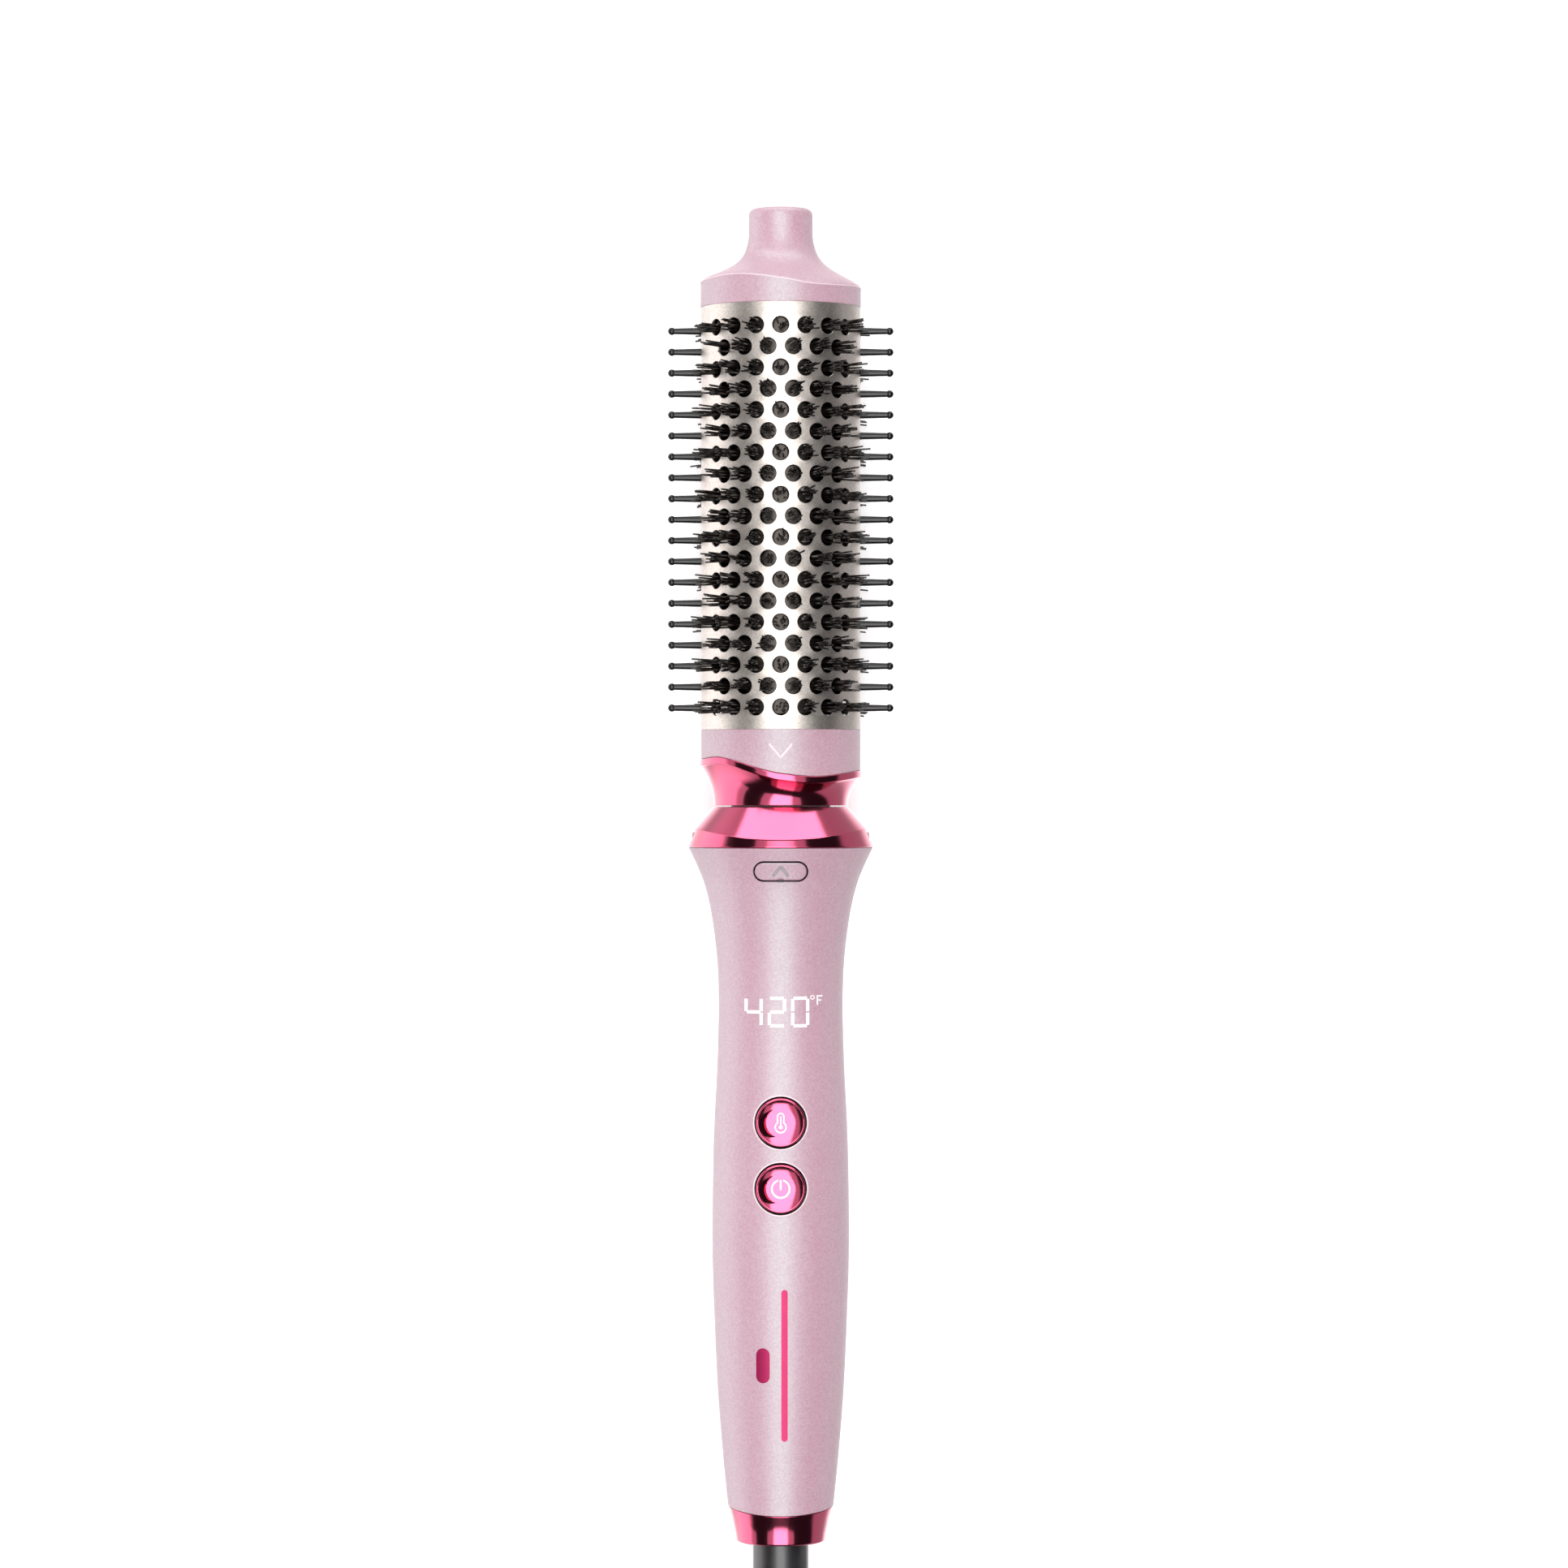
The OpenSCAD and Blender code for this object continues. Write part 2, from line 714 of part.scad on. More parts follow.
module temperature_icon() button_print(temperature_at) {
    bulb_y = -1.07;
    difference() {
        union() {
            translate([0, bulb_y]) circle(r = 1.45, $fn = hole_n);
            translate([0, 1.5]) circle(r = 0.92, $fn = hole_n);
            translate([-0.92, bulb_y]) square([1.84, 1.5 - bulb_y]);
        }
        translate([0, bulb_y]) circle(r = 1.1, $fn = hole_n);
        translate([0, 1.5]) circle(r = 0.56, $fn = hole_n);
        translate([-0.56, bulb_y]) square([1.12, 1.5 - bulb_y]);
    }
    translate([0, bulb_y]) circle(r = 0.46, $fn = hole_n);
    translate([-0.16, bulb_y]) square([0.32, 2.57]);
}

module power_icon() button_print(power_at) {
    difference() {
        circle(r = 2.33, $fn = hole_n);
        circle(r = 1.87, $fn = hole_n);
        translate([-0.6, 0.8]) square([1.2, 2]);
    }
    translate([-0.23, -0.28]) square([0.46, 2.43]);
}

// ---------- swivel and cord ----------

module swivel_stem() color(rubber_grey) laid() turned([
    [0, 283], [4, 283], [4, 293.4], [7.6, 293.4], [7.6, 296.8], [stem_r, 296.8],
    [stem_r, stem_end], [0, stem_end]
]);

module slip_rings() color(copper) laid() {
    tube(4.5, 4.02, 284, 286);
    tube(4.5, 4.02, 287.5, 289.5);
}

relief_tip_r = 3.9;
relief_end = stem_end + relief_len;

module strain_relief() color(rubber_grey) laid() difference() {
    turned([
        [0, stem_end], [stem_r - 0.2, stem_end], [stem_r - 0.4, stem_end + 4],
        [relief_tip_r, relief_end], [0, relief_end]
    ]);
    for (k = [0:5]) tube(8, relief_tip_r - 0.4 + 0.35 * (5 - k),
        stem_end + 7 + 5.6 * k, stem_end + 9 + 5.6 * k);
}

// The hank: straight runs between two round ends, drawn in at the tie
hank_from = -253;
hank_to = -365;
hank_r = 27;
hank_h = 18;
hank_mid = (hank_from + hank_to) / 2;
tie_half = 6;
waist_r = 13.5;
// The outline's side between its ends, as [half width, place along]
waist_stations = [
    [hank_r, hank_to], [hank_r - 2, hank_to + 16], [waist_r, hank_mid - tie_half],
    [waist_r, hank_mid + tie_half], [hank_r - 2, hank_from - 16], [hank_r, hank_from]
];
// Centre of the cord from the strain relief to the hank, and from the hank to the plug
lead_route = [
    [0, tip_y - relief_end - hair, axis_h], [0, -216, 22.2], [1.5, -226, 22], [5, -236, 21.8],
    [10, -246, 21], [14, -255, 19], [15.5, -263, 16.8]
];
tail_route = [
    [24, -373, 3.1], [23.2, -381, 3.3], [21, -388, 4.2], [18, -394, 5.7], [15.7, -399.5, 6.8],
    [15, -403.5, 7], [15, -405.9, 7]
];
plug_x = 15;
plug_z = 7;
plug_from = -406;

function unit(v) = v / norm(v);
function heading(p, i) = unit(p[min(i + 1, len(p) - 1)] - p[max(i - 1, 0)]);

// A round tube along a route
module swept(route, radius, sides) {
    rings = [for (i = [0:len(route) - 1])
        let (
            ahead = heading(route, i),
            across = unit(cross([0, 0, 1], ahead)),
            up = cross(ahead, across)
        )
        for (k = [0:sides - 1])
            route[i] + radius * (cos(360 * k / sides) * across + sin(360 * k / sides) * up)];
    last = (len(route) - 1) * sides;
    polyhedron(rings, concat(
        [[for (k = [0:sides - 1]) k]],
        [for (i = [0:len(route) - 2], k = [0:sides - 1])
            let (next = (k + 1) % sides)
            [i * sides + k, (i + 1) * sides + k, (i + 1) * sides + next, i * sides + next]],
        [[for (k = [sides - 1:-1:0]) last + k]]
    ));
}

module cord_lead() color(bristle) swept(lead_route, cord_d / 2, 10);
module cord_tail() color(bristle) swept(tail_route, cord_d / 2, 10);

module cord_hank() color(bristle) difference() {
    side = smooth(waist_stations, 4);
    linear_extrude(height = hank_h) {
        polygon(concat([for (p = side) p], [for (p = backwards(side)) [-p[0], p[1]]]));
        for (end = [hank_from, hank_to])
            translate([0, end]) circle(r = hank_r, $fn = round_n);
    }
    translate([-20, hank_mid - tie_half - 0.2, -1]) cube([40, 2 * tie_half + 0.4, 2.2]);
}

module cord_tie() color(dark_plastic)
    translate([0, hank_mid + tie_half, 0]) rotate([90, 0, 0])
        linear_extrude(height = 2 * tie_half) difference() {
            translate([-waist_r - 1.3, 0]) square([2 * waist_r + 2.6, hank_h + 1.3]);
            translate([-waist_r - 0.1, 1.2]) square([2 * waist_r + 0.2, hank_h - 1.1]);
        }

module plug_body() color(bristle) translate([plug_x, plug_from, plug_z]) rotate([90, 0, 0]) {
    corner = 3;
    cylinder(r1 = 3.6, r2 = 4.6, h = 12, $fn = hole_n);
    translate([0, 0, 11]) linear_extrude(height = 25) {
        square([24 - 2 * corner, 14], center = true);
        square([24, 14 - 2 * corner], center = true);
        for (x = [-1, 1], y = [-1, 1])
            translate([x * (12 - corner), y * (7 - corner)]) circle(r = corner, $fn = hole_n);
    }
}

module plug_blades() color(steel)
    for (side = [-1, 1])
        translate([plug_x + side * 6.35 - 0.75, plug_from - 36 - 17, plug_z - 3.15])
            cube([1.5, 17, 6.3]);

tip_cap();
tip_insulator();
barrel();
front_bristle_carrier();
rear_bristle_carrier();
front_tufts();
rear_tufts();
resting_tufts();
left_pin_rail();
right_pin_rail();
front_heat_spreader();
rear_heat_spreader();
heater_plate();
thermistor();
thermal_fuse();
heater_wires();
barrel_collar();
wave_ring();
spigot();
spigot_lid();
contact_pins();
head_screws();
lock_collar();
socket_liner();
socket_contacts();
socket_leads();
latch_clip();
front_shell();
rear_shell();
display_module();
display_digits();
control_board();
tact_switches();
power_parts();
chassis();
board_screws();
end_ring();
swivel_housing();
slip_brushes();
mains_wires();
release_button();
latch_yoke();
release_springs();
temperature_button();
temperature_icon();
power_button();
power_icon();
swivel_stem();
slip_rings();
strain_relief();
cord_lead();
cord_hank();
cord_tail();
cord_tie();
plug_body();
plug_blades();
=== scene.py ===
"""Heated round styling brush: a plug-in brush head on a handle with a swivel cord.

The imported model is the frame. Each class below holds the sizes of one sub-assembly in
millimetres, builds its pieces in metres in the frame's own place, and dresses them.
"""
import logging
import math
from dataclasses import dataclass, field
from enum import Enum
from typing import Callable, Sequence

import bmesh
import bpy
import numpy as np
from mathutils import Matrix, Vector


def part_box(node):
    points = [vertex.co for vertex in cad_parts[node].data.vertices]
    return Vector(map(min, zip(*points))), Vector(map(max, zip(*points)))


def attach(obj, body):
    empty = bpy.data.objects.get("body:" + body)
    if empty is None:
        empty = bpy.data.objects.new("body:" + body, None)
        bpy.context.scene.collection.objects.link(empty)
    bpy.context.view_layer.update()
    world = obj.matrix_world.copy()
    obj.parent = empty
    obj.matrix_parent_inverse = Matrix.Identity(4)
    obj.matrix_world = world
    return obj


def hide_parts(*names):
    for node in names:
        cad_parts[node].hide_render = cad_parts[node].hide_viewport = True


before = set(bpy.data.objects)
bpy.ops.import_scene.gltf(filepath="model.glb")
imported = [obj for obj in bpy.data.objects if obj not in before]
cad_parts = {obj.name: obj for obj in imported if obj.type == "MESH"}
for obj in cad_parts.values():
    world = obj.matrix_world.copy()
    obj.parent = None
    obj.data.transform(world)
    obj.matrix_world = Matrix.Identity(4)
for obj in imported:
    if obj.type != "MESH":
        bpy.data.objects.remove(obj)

MM = 0.001
ROUND_STEPS = 192
TUBE_SIDES = 12
CREASE = math.radians(32)
# Metres within which points are one, and under which an edge has no length
MERGE = 1e-7
NO_LENGTH = 1e-8
# The most of a side that a rounded corner takes, and how far its guard points stand past it
CORNER_SHARE = 0.45
CORNER_GUARD = 1.08
# A face whose normal has less than this upwards counts as a wall
WALL_NORMAL = 0.35
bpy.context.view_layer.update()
TIP_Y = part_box("tip_cap")[1].y
AXIS_Z = (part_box("barrel")[0].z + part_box("barrel")[1].z) / 2

log = logging.getLogger("brush")

Profile = Sequence[tuple[float, ...]]
Section = Callable[[float], Profile]


# ---------------------------------------------------------------- small tools

def linear(code: str) -> tuple[float, float, float, float]:
    """Turns a colour from sRGB hex to linear light.

    Args:
        code: six hex digits after a hash.

    Returns:
        Red, green, blue and an alpha of one.
    """
    shares = [int(code[i:i + 2], 16) / 255 for i in (1, 3, 5)]
    light = [s / 12.92 if s <= 0.04045 else ((s + 0.055) / 1.055) ** 2.4 for s in shares]
    return (light[0], light[1], light[2], 1.0)


def add_node(tree: bpy.types.NodeTree, kind: str, settings: dict | None = None,
             inputs: dict | None = None) -> bpy.types.Node:
    """Adds one node with its settings, its values and its links.

    Args:
        tree: the tree that takes the node.
        kind: the node's type name.
        settings: properties by name.
        inputs: for each input, by name or number, its value, an output socket or a node,
            which gives its first output.

    Returns:
        The new node.
    """
    node = tree.nodes.new(kind)
    for key, value in (settings or {}).items():
        setattr(node, key, value)
    for key, value in (inputs or {}).items():
        if isinstance(value, bpy.types.Node):
            value = value.outputs[0]
        if isinstance(value, bpy.types.NodeSocket):
            tree.links.new(value, node.inputs[key])
        else:
            node.inputs[key].default_value = value
    return node


def new_tree(name: str, kinds: dict[str, str]) -> tuple[bpy.types.NodeTree, dict]:
    """Starts a Geometry Nodes tree that takes geometry and gives geometry.

    Args:
        name: the tree's name.
        kinds: the kind of each further input, by the input's name.

    Returns:
        The tree and the sockets of its inputs by name.
    """
    tree = bpy.data.node_groups.new(name, "GeometryNodeTree")
    for key, kind in {"Geometry": "Geometry", **kinds}.items():
        tree.interface.new_socket(key, in_out="INPUT", socket_type=f"NodeSocket{kind}")
    tree.interface.new_socket("Geometry", in_out="OUTPUT", socket_type="NodeSocketGeometry")
    given = add_node(tree, "NodeGroupInput").outputs
    return tree, {key: given[key] for key in ("Geometry", *kinds)}


def end_tree(tree: bpy.types.NodeTree, shape: bpy.types.Node, given: dict) -> bpy.types.NodeTree:
    """Ends a tree: its shape takes the given material and goes out.

    Args:
        tree: the tree.
        shape: the node whose geometry goes out.
        given: the tree's inputs.

    Returns:
        The same tree.
    """
    dressed = add_node(tree, "GeometryNodeSetMaterial", None,
                       {"Geometry": shape, "Material": given["Material"]})
    add_node(tree, "NodeGroupOutput", None, {0: dressed})
    return tree


def linked(name: str, data: bpy.types.ID) -> bpy.types.Object:
    """Puts a mesh, curve, light or camera in the scene.

    Args:
        name: the object's name.
        data: what it holds.

    Returns:
        The new object.
    """
    piece = bpy.data.objects.new(name, data)
    bpy.context.scene.collection.objects.link(piece)
    return piece


def shade(data: bpy.types.Mesh) -> None:
    """Shades a mesh smooth, up to its sharp edges."""
    data.polygons.foreach_set("use_smooth", [True] * len(data.polygons))
    data.set_sharp_from_angle(angle=CREASE)


def spot(angle: float, at: float, radius: float) -> Vector:
    """Gives a place round the brush.

    Args:
        angle: degrees from the front towards +X.
        at: distance from the tip in millimetres.
        radius: distance from the axis in millimetres.

    Returns:
        The place in the frame, in metres.
    """
    turn = math.radians(angle)
    return Vector((radius * math.sin(turn) * MM, TIP_Y - at * MM,
                   AXIS_Z + radius * math.cos(turn) * MM))


def finish_mesh(name: str, mesh: bmesh.types.BMesh) -> bpy.types.Object:
    """Closes a mesh, turns its faces outwards and puts it in the scene.

    Args:
        name: the piece's name.
        mesh: the mesh, which is freed.

    Returns:
        The new object, at the origin.
    """
    bmesh.ops.remove_doubles(mesh, verts=mesh.verts, dist=MERGE)
    bmesh.ops.dissolve_degenerate(mesh, edges=mesh.edges, dist=NO_LENGTH)
    bmesh.ops.recalc_face_normals(mesh, faces=mesh.faces)
    data = bpy.data.meshes.new(name)
    mesh.to_mesh(data)
    mesh.free()
    shade(data)
    return linked(name, data)


def loft(name: str, sections: Sequence[Sequence[Vector]], ring: bool, tube: bool,
         cap: bool = False) -> bpy.types.Object:
    """Skins a row of sections that have the same number of points.

    Args:
        name: the piece's name.
        sections: the sections in order.
        ring: whether the last section joins the first.
        tube: whether each section is a closed outline.
        cap: whether the first and last sections get an end face.

    Returns:
        The new piece.
    """
    mesh = bmesh.new()
    grid = [[mesh.verts.new(p) for p in section] for section in sections]
    across = len(grid[0]) - (0 if tube else 1)
    for i in range(len(grid) - (0 if ring else 1)):
        here, there = grid[i], grid[(i + 1) % len(grid)]
        for k in range(across):
            after = (k + 1) % len(here)
            mesh.faces.new((here[k], there[k], there[after], here[after]))
    if cap:
        mesh.faces.new(list(reversed(grid[0])))
        mesh.faces.new(grid[-1])
    return finish_mesh(name, mesh)


def eased(profile: Profile, closed: bool) -> list[tuple[float, float]]:
    """Rounds the corners of an outline.

    Args:
        profile: (radius, at) or (radius, at, rounding) for each corner.
        closed: whether the last corner joins the first.

    Returns:
        The outline with each rounded corner drawn as a short curve.
    """
    out: list[tuple[float, float]] = []
    count = len(profile)
    for i, corner in enumerate(profile):
        here = np.array(corner[:2], float)
        ends = not closed and i in (0, count - 1)
        if len(corner) < 3 or ends:
            out.append((float(here[0]), float(here[1])))
            continue
        back = np.array(profile[i - 1][:2], float) - here
        ahead = np.array(profile[(i + 1) % count][:2], float) - here
        cut = [min(corner[2], CORNER_SHARE * np.linalg.norm(v)) for v in (back, ahead)]
        start = here + back / np.linalg.norm(back) * cut[0]
        end = here + ahead / np.linalg.norm(ahead) * cut[1]
        # The outermost two points keep the shading of the faces beside the corner flat
        out.append(tuple(float(v) for v in here + (start - here) * CORNER_GUARD))
        for share in (0, 0.25, 0.5, 0.75, 1):
            p = (1 - share) ** 2 * start + 2 * share * (1 - share) * here + share ** 2 * end
            out.append((float(p[0]), float(p[1])))
        out.append(tuple(float(v) for v in here + (end - here) * CORNER_GUARD))
    return out


def turned(name: str, section: Section, closed: bool = True,
           arc: tuple[float, float] | None = None, steps: int = ROUND_STEPS) -> bpy.types.Object:
    """Turns a profile round the brush's axis.

    Args:
        name: the piece's name.
        section: gives the profile at an angle, as (radius, at) or (radius, at, rounding).
        closed: whether the profile is a loop; if not, it begins and ends on the axis.
        arc: first and last angle, or None for a full turn.
        steps: sections in a full turn.

    Returns:
        The new piece.
    """
    first, last = arc or (0.0, 360.0)
    count = max(2, round(steps * (last - first) / 360)) + (1 if arc else 0)
    angles = [first + (last - first) * i / (count - (1 if arc else 0)) for i in range(count)]
    sections = [[spot(angle, at, radius) for radius, at in eased(section(angle), closed)]
                for angle in angles]
    return loft(name, sections, ring=arc is None, tube=closed, cap=arc is not None)


@dataclass(frozen=True)
class Outline:
    """A smooth curve through stations, each a height and a place along."""

    stations: tuple[tuple[float, float], ...]

    def slope(self, i: int) -> float:
        """Gives the curve's slope at a station.

        Args:
            i: the station's number.

        Returns:
            The rise per length between the stations beside it.
        """
        low, high = max(i - 1, 0), min(i + 1, len(self.stations) - 1)
        rise = self.stations[high][0] - self.stations[low][0]
        return rise / (self.stations[high][1] - self.stations[low][1])

    def height(self, at: float) -> float:
        """Gives the curve's height.

        Args:
            at: the place along.

        Returns:
            The height at that place.
        """
        marks = [k for k in range(len(self.stations) - 1) if self.stations[k][1] <= at]
        i = marks[-1] if marks else 0
        (start, begin), (end, stop) = self.stations[i], self.stations[i + 1]
        span = stop - begin
        t = min(max((at - begin) / span, 0.0), 1.0)
        return (start * (2 * t ** 3 - 3 * t ** 2 + 1)
                + self.slope(i) * span * (t ** 3 - 2 * t ** 2 + t)
                + end * (3 * t ** 2 - 2 * t ** 3)
                + self.slope(i + 1) * span * (t ** 3 - t ** 2))

    def points(self, steps: int) -> list[tuple[float, float]]:
        """Gives the curve as points.

        Args:
            steps: parts between two stations.

        Returns:
            (height, place along) pairs.
        """
        places = [a[1] + (b[1] - a[1]) * k / steps
                  for a, b in zip(self.stations, self.stations[1:]) for k in range(steps)]
        return [(self.height(at), at) for at in places + [self.stations[-1][1]]]


def smooth_share(value: float, low: float, high: float) -> float:
    """Rises smoothly from zero at low to one at high."""
    t = min(max((value - low) / (high - low), 0.0), 1.0)
    return t * t * (3 - 2 * t)


def stadium(width: float, height: float) -> list[tuple[float, float]]:
    """Gives the outline of a bar with round ends.

    Args:
        width: its whole length across.
        height: its width.

    Returns:
        Points of the outline, anticlockwise.
    """
    radius, half = height / 2, (width - height) / 2
    steps, parts = 20, 8
    out = []
    for centre, start in ((half, -90), (-half, 90)):
        for k in range(steps + 1):
            turn = math.radians(start + 180 * k / steps)
            out.append((centre + radius * math.cos(turn), radius * math.sin(turn)))
        flat = [half - 2 * half * k / parts for k in range(1, parts)]
        out += [(x if centre > 0 else -x, radius if centre > 0 else -radius) for x in flat]
    return out


def circle(radius: float, steps: int = 96) -> list[tuple[float, float]]:
    """Gives a circle's points, anticlockwise."""
    turns = [2 * math.pi * k / steps for k in range(steps)]
    return [(radius * math.cos(t), radius * math.sin(t)) for t in turns]


def stepped(marks: Sequence[tuple[float, float]], parts: int) -> list[tuple[float, float]]:
    """Divides a broken line.

    Args:
        marks: its corners and ends.
        parts: parts between two of them.

    Returns:
        The points along it, both ends included.
    """
    return [(x0 + (x1 - x0) * k / parts, y0 + (y1 - y0) * k / parts)
            for (x0, y0), (x1, y1) in zip(marks, marks[1:]) for k in range(parts)] + [marks[-1]]


def corner_arcs(wide: float, low: float, high: float, corner: float, first: int,
                parts: int) -> list[tuple[float, float, float, float]]:
    """Goes round a rectangle with round corners, anticlockwise.

    Args:
        wide: half its width.
        low: its lower edge.
        high: its upper edge.
        corner: the radius of its corners.
        first: the angle at which its first corner begins, in whole quarters.
        parts: parts of each corner.

    Returns:
        For each point, the corner's centre (across, up) and the way out of it (across, up).
    """
    out = []
    for start in range(first, first + 360, 90):
        middle = math.radians(start + 45)
        cx = wide - corner if math.cos(middle) > 0 else corner - wide
        cz = high - corner if math.sin(middle) > 0 else low + corner
        turns = [math.radians(start + 90 * k / parts) for k in range(parts + 1)]
        out += [(cx, cz, math.cos(t), math.sin(t)) for t in turns]
    return out


def over_axis(x: float, at: float, height: float) -> Vector:
    """Gives a place in the frame from a place across, a distance from the tip and a height."""
    return Vector((x * MM, TIP_Y - at * MM, AXIS_Z + height * MM))


def outline_block(name: str, outline: Sequence[tuple[float, float]], at: float,
                  top: Callable[[float, float], float], foot: Callable[[float, float], float],
                  rings: Sequence[tuple[float, float]]) -> bpy.types.Object:
    """Builds a block with a shaped top over a flat outline.

    Args:
        name: the piece's name.
        outline: points (across, towards the tip) round the centre.
        at: the centre's distance from the tip.
        top: height of the top over the axis at (across, towards the tip).
        foot: height of the bottom there.
        rings: (share of the outline, drop under the top) from the centre out.

    Returns:
        The new piece.
    """
    sections = []
    for share, drop in rings:
        sections.append([over_axis(x * share, at - y * share, top(x * share, y * share) - drop)
                         for x, y in outline])
    sections.append([over_axis(x, at - y, foot(x, y)) for x, y in outline])
    return loft(name, sections, ring=False, tube=True, cap=True)


def tube_along(name: str, points: Sequence[Vector], radius: float,
               closed: bool) -> bpy.types.Object:
    """Builds a round tube along points.

    Args:
        name: the piece's name.
        points: the centre line, in metres.
        radius: the tube's radius in millimetres.
        closed: whether the line is a loop.

    Returns:
        The new piece.
    """
    sections = []
    count = len(points)
    for i, point in enumerate(points):
        after = points[(i + 1) % count] if closed or i < count - 1 else point
        before = points[i - 1] if closed or i > 0 else point
        ahead = (after - before).normalized()
        side = ahead.cross(Vector((0, 0, 1)))
        side = (side if side.length > 1e-4 else Vector((1, 0, 0))).normalized()
        up = side.cross(ahead)
        turns = [2 * math.pi * k / TUBE_SIDES for k in range(TUBE_SIDES)]
        sections.append([point + radius * MM * (math.cos(t) * side + math.sin(t) * up)
                         for t in turns])
    return loft(name, sections, ring=closed, tube=True, cap=not closed)


def flattened(piece: bpy.types.Object) -> bpy.types.Object:
    """Turns a piece's modifiers into plain mesh.

    Args:
        piece: the piece, whose modifiers are removed.

    Returns:
        The same piece.
    """
    graph = bpy.context.evaluated_depsgraph_get()
    data = bpy.data.meshes.new_from_object(piece.evaluated_get(graph), depsgraph=graph)
    old = piece.data
    piece.modifiers.clear()
    piece.data = data
    bpy.data.meshes.remove(old)
    data.name = piece.name
    return piece


def carve(piece: bpy.types.Object, cutters: Sequence[bpy.types.Object]) -> bpy.types.Object:
    """Cuts cutters out of a piece and removes them.

    Args:
        piece: the piece.
        cutters: closed solids.

    Returns:
        The same piece.
    """
    for cutter in cutters:
        change = piece.modifiers.new("carve", "BOOLEAN")
        change.operation = "DIFFERENCE"
        change.solver = "EXACT"
        change.material_mode = "TRANSFER"
        change.object = cutter
    flattened(piece)
    for cutter in cutters:
        bpy.data.objects.remove(cutter)
    shade(piece.data)
    return piece


def merged(name: str, parts: Sequence[bpy.types.Object]) -> bpy.types.Object:
    """Puts several meshes in one piece.

    Args:
        name: the piece's name.
        parts: the meshes, of which the first is kept and renamed.

    Returns:
        The piece.
    """
    with bpy.context.temp_override(active_object=parts[0], object=parts[0],
                                   selected_editable_objects=list(parts),
                                   selected_objects=list(parts)):
        bpy.ops.object.join()
    parts[0].name = parts[0].data.name = name
    return parts[0]


def side_finish(piece: bpy.types.Object, finish: "Finish") -> None:
    """Gives a key's upright walls a finish of their own: the near-black of painted shade in the gap
    round the key.

    Args:
        piece: the key.
        finish: the finish of its walls, which paints shade into the gap.
    """
    piece.data.materials.append(finish.material())
    for face in piece.data.polygons:
        if face.normal.z < WALL_NORMAL:
            face.material_index = 1


# ------------------------------------------------------------------- finishes

# Height of the surface textures, in metres
BUMP_DEPTH = 0.02 * MM
# Roughness varies over patches this many times the size of the grain
WEAR_PATCH = 6


